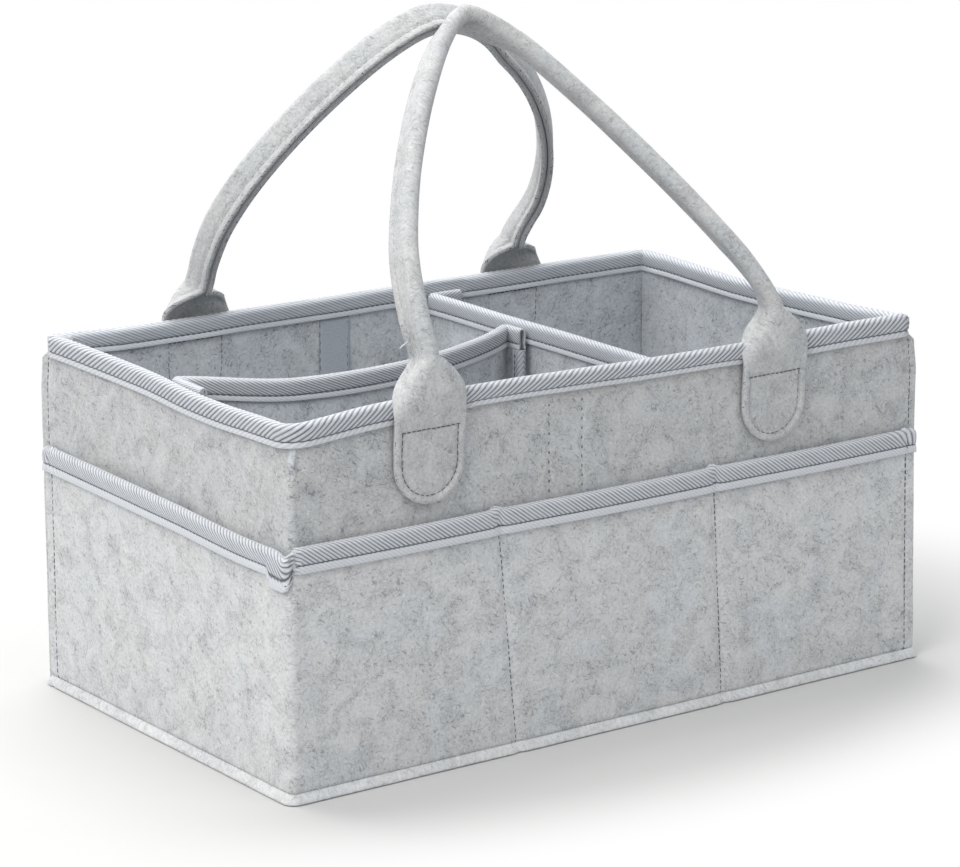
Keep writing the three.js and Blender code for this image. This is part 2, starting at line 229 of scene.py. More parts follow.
# How the sewn box stands away from flat faces: the short sides are drawn in along their rims.
# Here and below a pair is a place and its reach, a depth and its reach, or where a change starts and ends.
boxForm = {
    "rightDraw": 6.5,
    "leftDraw": 4.5,
    "leftDrawY": 45.0,
    "leftReach": 75.0,
    "longDraw": 0.8,
    "drawPower": 2.6,
    "belly": 0.7,
    "waves": 0.35,
    "rimRise": 1.9,
    "rimRiseAt": (-80.0, 75.0),
    "rimEnd": 1.6,
    "rimEndFrom": (60.0, 150.0),
    "cornerDip": 2.3,
    "frontDipRun": 45.0,
    "sideDipEnd": (40.0, 100.0),
    "leftDip": 1.4,
    "leftDipAt": (-45.0, 40.0),
    "frontShrink": 0.15,
    "shrinkFrom": (-95.0, -80.0),
    "endGrow": 0.08,
    "growFrom": (60.0, 110.0),
}


def rimLift(points, normals):
    # the front rim stands a little high left of its middle and at its right end, and the left rim dips
    x, y = points[..., 0], points[..., 1]
    dip = boxForm["cornerDip"]
    front = boxForm["rimRise"] * hump(x, *boxForm["rimRiseAt"])
    front = front + boxForm["rimEnd"] * ease(x, *boxForm["rimEndFrom"])
    front = front - dip * (1 - ease(x, -halfLength, -halfLength + boxForm["frontDipRun"]))
    left = -dip * (1 - ease(y, *boxForm["sideDipEnd"])) - boxForm["leftDip"] * hump(y, *boxForm["leftDipAt"])
    return front * looking(normals, 1) + left * looking(normals, 0)


def rimTall(points, normals):
    # between the front's tabs the rim tape hangs less far down, and right of them a little farther
    start, end = (ease(points[..., 0], *boxForm[key]) for key in ("shrinkFrom", "growFrom"))
    front = boxForm["endGrow"] * end - boxForm["frontShrink"] * (start - end)
    return 1 + front * looking(normals, 1)


def drawRise(z):
    return np.clip(z / rimTop, 0, 1) ** boxForm["drawPower"]


def shortDraw(points, normals, z):
    # how far a short side is drawn in
    onLeft = normals[..., 0] < 0
    fromMiddle = points[..., 1] - np.where(onLeft, boxForm["leftDrawY"], 0.0)
    leftReach = np.where(fromMiddle < 0, boxForm["leftReach"], halfWidth - boxForm["leftDrawY"])
    across = crest(fromMiddle, np.where(onLeft, leftReach, halfWidth)) ** 2
    return np.where(onLeft, boxForm["leftDraw"], boxForm["rightDraw"]) * drawRise(z) * across


def drawnBy(points, normals, z):
    acrossShort = crest(points[..., 1], halfWidth) ** 2
    acrossLong = crest(points[..., 0], halfLength)
    short = -shortDraw(points, normals, z)
    belly = boxForm["belly"] * np.sin(np.pi * np.clip(z / rimTop, 0, 1))
    long = (belly - boxForm["longDraw"] * drawRise(z)) * acrossLong
    wave = boxForm["waves"] * ripple(points[..., 0] + points[..., 1], z, 3)
    wave = wave * np.minimum(acrossShort + acrossLong, 1)
    return np.abs(normals[..., 0]) * short + np.abs(normals[..., 1]) * long + wave


def onBox(path, s, d, z):
    # a place at height z that stands d outside the path, on the box's sewn form
    s, d, z = np.broadcast_arrays(np.asarray(s, float), d, z)
    points, normals = path.at(s)
    reach = d + drawnBy(points, normals, z)
    flat = points + normals * reach[..., None]
    return np.concatenate([flat, z[..., None]], -1)


# Mesh making
def newObject(name, verts, quads, uvLoops, slots=None):
    mesh = bpy.data.meshes.new(name)
    mesh.vertices.add(len(verts))
    mesh.vertices.foreach_set("co", (verts * mm).astype(np.float32).ravel())
    mesh.loops.add(len(quads) * 4)
    mesh.loops.foreach_set("vertex_index", quads.astype(np.int32).ravel())
    mesh.polygons.add(len(quads))
    mesh.polygons.foreach_set("loop_start", np.arange(0, len(quads) * 4, 4, dtype=np.int32))
    mesh.polygons.foreach_set("use_smooth", np.ones(len(quads), bool))
    if slots is not None:
        mesh.polygons.foreach_set("material_index", slots)
    layer = mesh.uv_layers.new(name="cloth")
    layer.data.foreach_set("uv", (uvLoops * mm).astype(np.float32).ravel())
    mesh.update(calc_edges=True)
    mesh.validate()
    made = bpy.data.objects.new(name, mesh)
    bpy.context.scene.collection.objects.link(made)
    return made


def unit(field):
    return field / np.maximum(np.linalg.norm(field, axis=-1, keepdims=True), 1e-9)


class Sheet:
    # a closed skin round a grid of middle points, with rounded edges
    innerUv = np.array([31.0, 457.0])  # where the inner skin and the edge lie in the cloth
    edgeUv = np.array([1.5, 1.5])

    def __init__(self, name, mid, skins, uv, closed=False, swell=0.3, cutEdge=False, paintedInside=False):
        count, rows = mid.shape[:2]
        if closed:
            along = np.roll(mid, -1, 0) - np.roll(mid, 1, 0)
        else:
            along = np.gradient(mid, axis=0)
        upward = np.gradient(mid, axis=1)
        self.normal = unit(np.cross(along, upward))
        outSkin, inSkin = (np.broadcast_to(skin, (count, rows)) for skin in skins)
        self.outer = mid + self.normal * outSkin[..., None]
        self.inner = mid - self.normal * inSkin[..., None]
        index = np.arange(count * rows).reshape(count, rows)
        ring = np.vstack([index, index[:1]]) if closed else index
        a, b, c, d = ring[:-1, :-1], ring[1:, :-1], ring[1:, 1:], ring[:-1, 1:]
        outerQuads = np.stack([a, b, c, d], -1).reshape(-1, 4)
        innerQuads = np.stack([a, d, c, b], -1).reshape(-1, 4) + count * rows
        away = np.zeros_like(mid)
        away[:, 0] -= unit(upward[:, 0])
        away[:, -1] += unit(upward[:, -1])
        if closed:
            loops = [index[:, 0], index[::-1, -1]]
        else:
            away[0] -= unit(along[0])
            away[-1] += unit(along[-1])
            loops = [np.concatenate([index[:, 0], index[-1, 1:], index[-2::-1, -1], index[0, -2:0:-1]])]
        middle = (self.outer + self.inner) / 2 + unit(away) * swell
        verts = [self.outer.reshape(-1, 3), self.inner.reshape(-1, 3)]
        flatUv = uv.reshape(-1, 2)
        uvs = [flatUv, flatUv + self.innerUv]
        edgeQuads = []
        start = 2 * count * rows
        for loop in loops:
            verts.append(middle.reshape(-1, 3)[loop])
            uvs.append(flatUv[loop] + self.edgeUv)
            rim = np.arange(start, start + len(loop))
            start += len(loop)
            after = np.roll(loop, -1)
            rimAfter = np.roll(rim, -1)
            edgeQuads.append(np.stack([loop, rim, rimAfter, after], -1))
            far = count * rows
            edgeQuads.append(np.stack([rim, loop + far, after + far, rimAfter], -1))
        edges = np.concatenate(edgeQuads)
        quads = np.concatenate([outerQuads, innerQuads, edges])
        uvAll = np.concatenate(uvs)
        uvLoops = uvAll[quads]
        if closed:
            run = np.array([uv[-1, 0, 0] - uv[0, 0, 0] + uv[1, 0, 0] - uv[0, 0, 0], 0.0])
            wrap = slice((count - 1) * (rows - 1), count * (rows - 1))
            uvLoops[wrap, 1:3] += run
            far = len(outerQuads)
            wrap = slice(far + (count - 1) * (rows - 1), far + count * (rows - 1))
            uvLoops[wrap, 2:4] += run
        slots = np.zeros(len(quads), np.int32)
        # the inner skin can take the third material, the inner felt with its painted fill light and tint
        slots[len(outerQuads) : len(outerQuads) + len(innerQuads)] = 2 if paintedInside else 0
        slots[len(outerQuads) + len(innerQuads) :] = 1 if cutEdge else 0
        self.obj = newObject(name, np.concatenate(verts), quads, uvLoops, slots)


# where each piece lies in the cloth, so that no two show the same fibres
clothAt = {
    "front_left_wall": (40.0, 0.0),
    "back_right_wall": (40.0, 900.0),
    "base_upturn": (700.0, 700.0),
    "base_plate": (1200.0, 300.0),
    "front_left": (300.0, 1500.0),
    "back_right": (300.0, 2300.0),
    "patch": (80.0, 2600.0),
    "cross_divider": (900.0, 3300.0),
    "long_divider": (900.0, 3600.0),
    "front": (0.0, 3900.0),
    "back": (0.0, 4300.0),
    "tape": (0.0, 0.0),
}


def uvGrid(s, q, piece):
    return np.stack(grid(s, q), -1) + np.array(clothAt[piece])


def dress(obj, body, slotName, materials, *nodes):
    for material in materials:
        obj.data.materials.append(material)
    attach(obj, body)
    if nodes:
        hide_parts(*nodes)
    return obj


# Shader maths: a wrapped socket, on which Python's operators add Math nodes
class Wire:
    def __init__(self, tree, socket=None):
        self.tree = tree
        self.socket = socket

    def node(self, kind, settings, sockets, out=0):
        made = self.tree.nodes.new(kind)
        for key, value in settings.items():
            if key == "stops":
                for element, (place, colour) in zip(made.color_ramp.elements, value):
                    element.position = place
                    element.color = colour
            else:
                setattr(made, key, value)
        for key, value in sockets.items():
            if isinstance(value, Wire):
                self.tree.links.new(value.socket, made.inputs[key])
            else:
                made.inputs[key].default_value = value
        return Wire(self.tree, made.outputs[out] if len(made.outputs) else None)

    def maths(self, operation, first, second=0.0, clamp=False):
        settings = {"operation": operation, "use_clamp": clamp}
        return self.node("ShaderNodeMath", settings, {0: first, 1: second})

    def __add__(self, other):
        return self.maths("ADD", self, other)

    def __radd__(self, other):
        return self.maths("ADD", other, self)

    def __sub__(self, other):
        return self.maths("SUBTRACT", self, other)

    def __rsub__(self, other):
        return self.maths("SUBTRACT", other, self)

    def __mul__(self, other):
        return self.maths("MULTIPLY", self, other)

    def __rmul__(self, other):
        return self.maths("MULTIPLY", other, self)

    def __truediv__(self, other):
        return self.maths("DIVIDE", self, other)

    def __rtruediv__(self, other):
        return self.maths("DIVIDE", other, self)

    def __pow__(self, other):
        return self.maths("POWER", self, other)

    def __abs__(self):
        return self.maths("ABSOLUTE", self)

    def clamped(self):
        return self.maths("ADD", self, 0.0, True)

    def between(self, low, high):
        # 0 below low, 1 above high
        settings = {"interpolation_type": "SMOOTHSTEP"}
        return self.node("ShaderNodeMapRange", settings, {"Value": self, 1: low, 2: high})

    def blend(self, first, second):
        # a colour that goes from first to second as this value goes from 0 to 1
        return self.node("ShaderNodeMix", {"data_type": "RGBA"}, {0: self, 6: first, 7: second}, 2)

    def zigzag(self):
        # from 1 down to 0 and back, once for each whole step of this value
        return abs(self.maths("FRACT", self) - 0.5) * 2

    def vector(self, x, y):
        return self.node("ShaderNodeCombineXYZ", {}, {0: x, 1: y})

    def vectorMaths(self, operation, sockets, out=0):
        return self.node("ShaderNodeVectorMath", {"operation": operation}, sockets, out)

    def parts(self):
        # this vector's x and y
        split = self.node("ShaderNodeSeparateXYZ", {}, {0: self})
        return [Wire(self.tree, split.socket.node.outputs[k]) for k in (0, 1)]

    def noise(self, size, shift, detail=2.0, roughness=0.5, distortion=0.0):
        # this vector is in millimetres, and so is the size of the noise
        moved = self.vectorMaths("ADD", {0: self, 1: (shift, 1.7 * shift, 0)})
        sockets = {
            "Vector": moved,
            "Scale": 1 / size,
            "Detail": detail,
            "Roughness": roughness,
            "Distortion": distortion,
        }
        return self.node("ShaderNodeTexNoise", {"noise_dimensions": "2D"}, sockets)


def tone(levels, lift=0):
    # a colour written in display levels, 0 to 255
    shares = [(level + lift) / 255 for level in levels]
    linear = [x / 12.92 if x <= 0.04045 else ((x + 0.055) / 1.055) ** 2.4 for x in shares]
    return (*linear, 1.0)


def newMaterial(name):
    material = bpy.data.materials.new(name)
    material.use_nodes = True
    tree = material.node_tree
    tree.nodes.clear()
    start = Wire(tree)
    plain = start.node("ShaderNodeUVMap", {"uv_map": "cloth"}, {})
    return material, start.vectorMaths("SCALE", {0: plain, "Scale": 1 / mm})


def finishMaterial(wire, colour, roughness, height, depth, sheen):
    # sheen is even over the cloth, so it is set on the shader itself
    normal = wire.node("ShaderNodeBump", {}, {"Strength": 1.0, "Distance": depth * mm, "Height": height})
    sockets = {
        "Base Color": colour,
        "Roughness": roughness,
        "Specular IOR Level": 0.2,
        "Normal": normal,
        "Sheen Weight": sheen,
        "Sheen Roughness": 0.6,
    }
    surface = wire.node("ShaderNodeBsdfPrincipled", {}, sockets)
    wire.node("ShaderNodeOutputMaterial", {}, {"Surface": surface})


feltLook = {
    "cool": (198, 200, 201),
    "warm": (202, 201, 199),
    "dark": (84, 86, 92),
    "pale": (236, 237, 238),
    "shade": -46,
    "fleck": (2.1, 0.042),
    "fleckTurns": (0.25, 1.3, 2.4),
    "paleHair": (2.2, 0.05, 0.9),
    # noises: size, place, detail, roughness and distortion
    "patch": (12.0, 11.0, 3.0, 0.6, 0.6),
    "cloud": (34.0, 23.0),
    "grain": (0.8, 700.0, 3.0, 0.75),
    "pepper": (1.7, 410.0, 2.0, 0.6),
    "lumps": (2.4, 60.0, 3.0, 0.6, 0.6),
    "paleAmount": 0.22,
    "fleckAmount": 0.5,
    "speckleAmount": 0.26,
    "relief": 0.14,
}
hairLook = {"bend": (3.4, -2.6), "bendSize": 4.0, "stretch": (1.0, 2.6, 1.0), "cut": 0.6, "core": 0.2}


def hairs(cloth, size, width, turn, shift):
    # thin lines that run mostly one way, cut into short lengths
    bend = cloth.noise(hairLook["bendSize"], shift + 3, 1.0)
    bow = cloth.vector(*(bend * amount for amount in hairLook["bend"]))
    sockets = {
        "Vector": cloth.vectorMaths("ADD", {0: cloth, 1: bow}),
        "Location": (shift, shift, 0),
        "Rotation": (0, 0, turn),
        "Scale": hairLook["stretch"],
    }
    turned = cloth.node("ShaderNodeMapping", {"vector_type": "TEXTURE"}, sockets)
    lines = abs(turned.noise(size, shift, 0.0) - 0.5)
    lengths = turned.noise(size * hairLook["cut"], shift + 31, 0.0)
    return 1 - lines.between(width * hairLook["core"], width), lengths


def feltMaterial(name, look, lift=0, darkness=1.0):
    # lift lightens the base colour, in display levels
    material, cloth = newMaterial(name)
    noises = ("patch", "cloud", "grain", "pepper", "lumps")
    patch, cloud, grain, pepper, lumps = (cloth.noise(*look[key]) for key in noises)
    flecks = None
    for i, turn in enumerate(look["fleckTurns"]):
        line, lengths = hairs(cloth, *look["fleck"], turn, 40.0 + 57 * i)
        layer = line * (lengths + (patch - 0.5) * 0.9).between(0.5, 0.64)
        flecks = layer if flecks is None else flecks + layer * (1 - flecks)
    paleLine, paleLengths = hairs(cloth, *look["paleHair"], 900.0)
    paleHair = paleLine * paleLengths.between(0.48, 0.6)
    speckle = (grain + (patch - 0.5) * 0.5).between(0.55, 0.75)
    base = cloud.between(0.35, 0.65).blend(tone(look["cool"], lift), tone(look["warm"], lift))
    mottle = (0.5 + (grain - 0.5) * 0.9 + (pepper - 0.5) * 0.8 - (patch - 0.5) * 0.6).clamped()
    shaded = (1 - mottle).blend(base, tone(look["cool"], lift + look["shade"]))
    withPale = (paleHair * look["paleAmount"]).blend(shaded, tone(look["pale"]))
    marks = (flecks * look["fleckAmount"] + speckle * look["speckleAmount"]) * darkness
    colour = marks.clamped().blend(withPale, tone(look["dark"]))
    height = grain * 0.7 + paleHair * 0.3 - flecks * 0.2 + lumps * 0.7
    finishMaterial(cloth, colour, 0.9 + grain * 0.1, height, look["relief"], 0.2)
    return material


cutLook = {
    "base": (190, 191, 192),
    "dark": (70, 72, 76),
    "specks": (0.9, 20.0, 2.0, 0.6, 0.4),
    "streaks": (2.6, 80.0, 2.0, 0.5, 0.5),
    "relief": 0.25,
}


def cutEdgeMaterial(name, look):
    # a cut edge of felt shows the ends of its fibres, as dark and pale specks
    material, cloth = newMaterial(name)
    specks, streaks = (cloth.noise(*look[key]) for key in ("specks", "streaks"))
    mask = (specks * 0.7 + streaks * 0.3).between(0.5, 0.66)
    colour = mask.blend(tone(look["base"]), tone(look["dark"]))
    finishMaterial(cloth, colour, 0.95 + specks * 0.05, specks, look["relief"], 0.1)
    return material


tapeLook = {
    "base": (186, 189, 194),
    "shade": -22,
    # valley: painted shade in the rib valleys
    "valley": (72, 77, 86),
    # pale: painted highlight on the rib crests, the crown of the fold and the lip
    "pale": (222, 224, 227),
    # inside: painted bluish shade tint on the inner leg
    "inside": (206, 214, 222),
    # groove: painted shade in the pinched stitch groove
    "groove": (96, 100, 108),
    "wobble": (4.0, 15.0),
    "fuzz": (0.6, 33.0, 3.0, 0.7),
    # uneven: a noise that makes the painted valley and groove shade patchy
    "uneven": (9.0, 51.0, 2.0, 0.6),
    "relief": 0.12,
    "stitch": 8.0,
}


def tapeMaterial(name, look, outPitch, inPitch):
    # u runs along the tape and each rib keeps its own u; v is the depth below the fold, negative inside
    material, cloth = newMaterial(name)
    along, across = cloth.parts()
    depth = abs(across)
    sway, fuzz, uneven = (cloth.noise(*look[key]) for key in ("wobble", "fuzz", "uneven"))
    wobble = (sway - 0.5) * 0.10
    outside = across.between(-0.8, 0.8)
    # 0 in a valley, 1 on a crest
    coarse, fine = (1 - (along / pitch + wobble).zigzag() for pitch in (outPitch, inPitch))
    rib = fine + (coarse - fine) * outside
    onLip = depth.between(look["stitch"] + 0.4, look["stitch"] + 1.0)
    onCrown = 1 - depth.between(0.6, 2.4)
    groove = 1 - abs(depth - look["stitch"]).between(0.2, 0.75)
    # painted shade in the rib valleys, patchy, weaker on the lip and the crown; the same mask sinks the bump
    valley = (1 - rib.between(0.0, 0.55)) * (0.5 + uneven * 0.8) * (1 - onLip * 0.95) * (1 - onCrown * 0.25)
    base = fuzz.between(0.25, 0.75).blend(tone(look["base"], look["shade"]), tone(look["base"]))
    # painted highlight on the rib crests
    crested = (rib.between(0.5, 1.0) * fuzz * 0.9).blend(base, tone(look["pale"]))
    # painted highlight along the crown of the fold and on the flared lip, which face the lamps
    bright = ((onLip * 0.25 + onCrown * 0.3) * (0.4 + fuzz)).clamped().blend(crested, tone(look["pale"]))
    # lay the painted valley shade over the colour
    shaded = (valley * 0.9).clamped().blend(bright, tone(look["valley"]))
    # painted shade along the stitch groove
    colour = (groove * (0.55 + uneven * 0.5)).clamped().blend(shaded, tone(look["groove"]))
    # a painted bluish tint over the inner leg, for the bluish shade inside the box
    colour = ((1 - outside) * 0.22).blend(colour, tone(look["inside"]))
    height = fuzz * 0.4 - valley * 0.7
    finishMaterial(cloth, colour, 0.7 + fuzz * 0.2, height, look["relief"], 0.15)
    return material


hookLook = {
    "base": (184, 190, 197),
    "dark": (162, 168, 175),
    "row": 1.1,
    "stray": (1.2, 5.0, 1.0),
    "curls": (0.7, 44.0, 2.0, 0.6, 1.2),
    "relief": 0.16,
}


def hookMaterial(name, look):
    # rows of small loops
    material, cloth = newMaterial(name)
    across = cloth.parts()[1]
    stray, curls = (cloth.noise(*look[key]) for key in ("stray", "curls"))
    rows = (across / look["row"] + stray * 0.8).zigzag()
    colour = (rows * 0.45 + curls * 0.7).between(0.3, 0.9).blend(tone(look["dark"]), tone(look["base"]))
    finishMaterial(cloth, colour, 0.85 + curls * 0.1, rows * 0.4 + curls, look["relief"], 0.2)
    return material


threadLook = {
    "dark": (108, 111, 118),
    "pale": (236, 237, 240),
    "twist": 0.55,
    # dim: the share of the colour kept in the painted shade between plies
    "dim": 0.62,
    "fuzz": (0.4, 9.0, 2.0, 0.6),
    "relief": 0.08,
}


def threadMaterial(name, shade, look):
    # u runs along each stitch, so the twist shows as slanting bands
    material, cloth = newMaterial(name)
    along, around = cloth.parts()
    ply = (along / look["twist"] + around / 2).zigzag()
    fuzz = cloth.noise(*look["fuzz"])
    dim = [look["dim"] * level for level in shade]
    # the darker slanting bands are painted shade between the twisted plies
    colour = (ply * 0.7 + fuzz * 0.4).clamped().blend(tone(dim), tone(shade))
    finishMaterial(cloth, colour, 0.6 + fuzz * 0.25, ply, look["relief"], 0.1)
    return material


ribPitch = {"rim": 3.6, "pocket": 2.6, "divider": 2.9}  # between ribs, measured along a tape
finePitch = 3.3  # inside the rim
# the inside felt is tinted bluish, a painted shade tint
paintedInnerLook = {**feltLook, "cool": (198, 203, 208), "warm": (200, 203, 205)}
# valley: the pocket tape's own painted shade in its rib valleys
pocketTapeLook = {**tapeLook, "base": (195, 198, 203), "valley": (86, 90, 98)}
wallFelt = feltMaterial("heather wall felt", feltLook, 4)
# 20 levels lighter: painted bounce light from the floor on the pockets
bounceLitPocketFelt = feltMaterial("heather pocket felt with painted bounce light", feltLook, 20, 0.9)
# 26 levels lighter with fewer flecks: painted light on the flared strip below the base stitching
litHemFelt = feltMaterial("hem felt with painted light", feltLook, 26, 0.5)
handleFelt = feltMaterial("heather handle felt", feltLook, 3, 0.75)
# lighter than the wall felt and bluish: painted fill light and painted bluish shade on the inner faces, the
# base and the dividers
paintedInnerFelt = feltMaterial("heather inner felt with painted fill and tint", paintedInnerLook, 15)
cutFelt = cutEdgeMaterial("cut felt edge", cutLook)
twills = {
    "rim": tapeMaterial("ribbed rim tape", tapeLook, ribPitch["rim"], finePitch),
    "pocket": tapeMaterial("ribbed pocket tape", pocketTapeLook, ribPitch["pocket"], ribPitch["pocket"]),
    "divider": tapeMaterial("ribbed divider tape", tapeLook, ribPitch["divider"], ribPitch["divider"]),
}
loopPile = hookMaterial("hook and loop pile", hookLook)
greyThread = threadMaterial("grey sewing thread", threadLook["dark"], threadLook)
paleThread = threadMaterial("pale loose thread", threadLook["pale"], threadLook)
print("materials made")


# Stitches: small flattened capsules, gathered for each body and joined at the end
stitchRows = {body: [] for body in frame["bodies"]}
stitchShape = {
    "rings": ((-1.0, 0.3), (-0.6, 1.0), (0.6, 1.0), (1.0, 0.3)),
    "sides": 6,
    "flat": 0.7,
    "uvStep": 3.1,
    "wander": ((0.12, 1.9), (0.08, 5.3)),
    "vary": (0.12, 2.7),
    "beside": 0.4,
}
# the pitch, the stitches' length and the thread's width of each kind of row
threads = {
    "tape": (3.2, 2.3, 0.8),
    "base": (2.9, 2.5, 1.0),
    "pocket": (3.0, 2.3, 0.8),
    "corner": (3.3, 2.5, 0.85),
    "loop": (4.4, 1.6, 0.85),
    "patch": (4.4, 2.4, 0.4),
    "tabBow": (3.1, 2.4, 0.45),
    "tabTop": (2.6, 2.4, 0.75),
    "grip": (4.2, 3.0, 0.6),
}


def sew(body, points, normals, kind="tape", sink=0.1):
    # stitches at even steps along a line of places on a surface
    pitch, length, width = threads[kind]
    points = np.asarray(points, float)
    normals = np.broadcast_to(np.asarray(normals, float), points.shape)
    run = runLengths(points)
    count = max(1, int(run[-1] / pitch))
    spots = (np.arange(count) + 0.5) * run[-1] / count
    wander = sum(far * np.sin(spots * often) for far, often in stitchShape["wander"])
    centres = readAt(spots, run, points)
    beside = stitchShape["beside"]
    heading = unit(readAt(spots + beside, run, points) - readAt(spots - beside, run, points))
    outward = unit(readAt(spots, run, normals))
    side = unit(np.cross(heading, outward))
    centres = centres + side * wander[:, None] - outward * sink
    far, often = stitchShape["vary"]
    lengths = length * (1 + far * np.sin(spots * often))
    stitchRows[body].append((centres, heading, outward, side, lengths, np.full(count, width)))


def stitchQuads(sides, rings):
    # the faces of one stitch: bands between its rings, and two faces at each end
    quads = []
    for r in range(rings - 1):
        for k in range(sides):
            after = (k + 1) % sides
            quads.append((r * sides + k, (r + 1) * sides + k, (r + 1) * sides + after, r * sides + after))
    top = (rings - 1) * sides
    quads += [(0, 1, 2, 3), (3, 4, 5, 0)]
    quads += [(top + 3, top + 2, top + 1, top), (top, top + 5, top + 4, top + 3)]
    return np.array(quads)


def finishStitches():
    sides = stitchShape["sides"]
    turns = np.arange(sides) / sides * 2 * math.pi
    places = np.array([place for place, girth in stitchShape["rings"]])
    quads = stitchQuads(sides, len(places))
    for body, rows in stitchRows.items():
        if not rows:
            continue
        centres, heading, outward, side, lengths, widths = (np.concatenate(x) for x in zip(*rows))
        rings = []
        for place, girth in stitchShape["rings"]:
            along = centres + heading * (lengths * place / 2)[:, None]
            reach = (widths / 2 * girth)[:, None]
            for turn in turns:
                lift = math.sin(turn) * stitchShape["flat"]
                rings.append(along + side * reach * math.cos(turn) + outward * reach * lift)
        verts = np.stack(rings, 1)
        numbers = np.arange(len(centres))
        allQuads = (quads[None] + (numbers * verts.shape[1])[:, None, None]).reshape(-1, 4)
        u = np.repeat(places, sides)[None] * lengths[:, None] / 2 + numbers[:, None] * stitchShape["uvStep"]
        v = np.broadcast_to(np.tile(np.arange(sides) / sides * 2, len(places)), u.shape)
        uv = np.stack([u, v], -1).reshape(-1, 2)
        obj = newObject(body + "_stitching", verts.reshape(-1, 3), allQuads, uv[allQuads])
        obj.data.materials.append(greyThread)
        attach(obj, body)


# The box's own paths: the walls' middles and the pocket bands' middles
shellForm = {
    "cornerRadius": 2.2,
    "rimCorner": 9.0,
    "rimBackCorner": 4.0,
    "rimSeamCorner": 3.0,
    "seamBend": 2.0,
    "frontProud": 11.0,
    "backProud": 14.5,
    "rimProud": 4.0,
    "rimBackProud": 6.3,
    "rimSkew": 32.0,
    "rimSkewBend": 25.0,
    "layerGap": 0.3,
    "wallStep": 2.4,
    "baseStitch": 4.6,
    "topstitch": 5.6,
}
halfFelt = feltThick / 2
wallX = halfLength - halfFelt
wallY = halfWidth - halfFelt
proud, backProud = shellForm["frontProud"], shellForm["backProud"]
behind = feltThick + shellForm["layerGap"]
frontLeftPath = PlanPath(
    [(-wallX, halfWidth + backProud), (-wallX, -wallY), (halfLength + proud, -wallY)],
    [shellForm["cornerRadius"] - halfFelt],
)
backRightPath = PlanPath(
    [
        (halfLength + proud, -wallY + behind),
        (wallX, -wallY + behind),
        (wallX, wallY),
        (-wallX + behind, wallY),
        (-wallX + behind, halfWidth + backProud),
    ],
    [shellForm["seamBend"], shellForm["cornerRadius"] - halfFelt, shellForm["seamBend"]],
)
rimOut, rimBackOut, rimSkew = (shellForm[key] for key in ("rimProud", "rimBackProud", "rimSkew"))
rimCorners = {
    (wallX, wallY): "rimBackCorner",
    (-wallX + rimSkew, wallY): "rimSkewBend",
    (-wallX, wallY + rimBackOut): "rimSeamCorner",
    (-wallX, -wallY): "rimCorner",
    (wallX + rimOut, -wallY): "rimSeamCorner",
    (wallX, -wallY + rimSkew): "rimSkewBend",
}
rimPath = PlanPath(
    [(wallX, 0), *rimCorners, (wallX, 0)],
    [shellForm[key] for key in rimCorners.values()],
    closed=True,
)

# Places of the sewn-on pieces on the faces
tabForm = {
    "inset": 3.8,
    "topZ": 166.4,
    "straight": 14.0,
    "groove": 0.85,
    "bowReach": 0.9,
    "topReach": 0.8,
    "topEnd": (-2.6, -1.2),
    "topOverrun": (0.8, 1.2),
    "ring": 0.4,
    "ringFrom": (0.4, 1.4),
    "ringEdge": (0.2, 1.0),
    "grooveEnd": 8.0,
    "threadProud": 0.3,
}
# how much lower, longer and farther right than in the frame a tab is sewn on
tabDrop = {("front", "left"): -0.5, ("front", "right"): 2.4}
tabLonger = {("front", "left"): 1.5}
tabAside = {("front", "right"): 1.6, ("back", "right"): 1.0}
innerAside = {("back", "left"): -4.7, ("back", "right"): -4.0}  # the tab stitching as seen inside the box
innerRise = {"front": 0.0, "back": 2.3}
pocketSeams = {"front": ((-60.0, -72.0), (66.6, 59.0)), "back": ((-62.0, -66.0), (62.0, 66.0))}
loopLines = {"front": (-38.6, -19.0), "back": (-31.8, -13.0)}
tabSpots = {}
for side in ("front", "back"):
    for end in ("left", "right"):
        low, high = nodeBox(f"{side}_handle_{end}_tab")
        tabSpots[side, end] = (low[0] + high[0]) / 2 + tabAside.get((side, end), 0.0)


def straightOf(side, end):
    return tabForm["straight"] + tabLonger.get((side, end), 0.0)


# Walls: grooves under the stitching, folded corners and the sewn ends
wallForm = {
    "wave": 0.12,
    "waveScale": 2.3,
    "loopGroove": (0.5, 1.4),
    "endGroove": (0.55, 1.3),
    "fineBelowTop": 9.0,
    "flangeBend": 9.0,
    "lowerFrom": 150.0,
    # how far a folded corner is drawn in under the rim, and how sharp its crease stands below
    "frontFold": (3.3, 0.0),
    "backFold": (1.3, 2.2),
    "foldReach": 6.5,
    "foldFrom": (148.0, 169.0),
    "creaseReach": 0.8,
    "creaseEnd": (164.0, 170.0),
    # how the sewn ends run in under the rim tape
    "endGap": 0.6,
    "endPull": 1.8,
    "endPullFrom": (150.0, 168.0),
    "endTuckFrom": (167.0, 172.0),
    "endRun": 30.0,
    "followFrom": (145.0, 168.0),
    # how deep the stitches on it lie
    "cornerSink": 0.5,
    "loopSink": 0.45,
}


def pullEnds(path, s, z):
    # the sewn ends stand out below the rim and run in under its tape
    pull, gap, run = (wallForm[key] for key in ("endPull", "endGap", "endRun"))
    ends = {"front": proud - rimOut - gap, "back": backProud - rimBackOut - gap}
    early, late = (ease(z, *wallForm[key]) for key in ("endPullFrom", "endTuckFrom"))
    pulls = {end: pull * early + (room - pull) * late for end, room in ends.items()}
    first, last = ("back", "front") if path is frontLeftPath else ("front", "back")
    return s + pulls[first] * (1 - ease(s, 0, run)) - pulls[last] * ease(s, path.total - run, path.total)


def rimFollow(points, normals, z):
    # near the sewn corners the wall's upper edge runs out with the rim
    nearBack = np.clip(1 - (points[..., 0] + wallX) / rimSkew, 0, 1) * (normals[..., 1] > squareOn)
    nearFront = np.clip(1 - (points[..., 1] + wallY) / rimSkew, 0, 1) * (normals[..., 0] > squareOn)
    return (rimBackOut * nearBack + rimOut * nearFront) * ease(z, *wallForm["followFrom"])


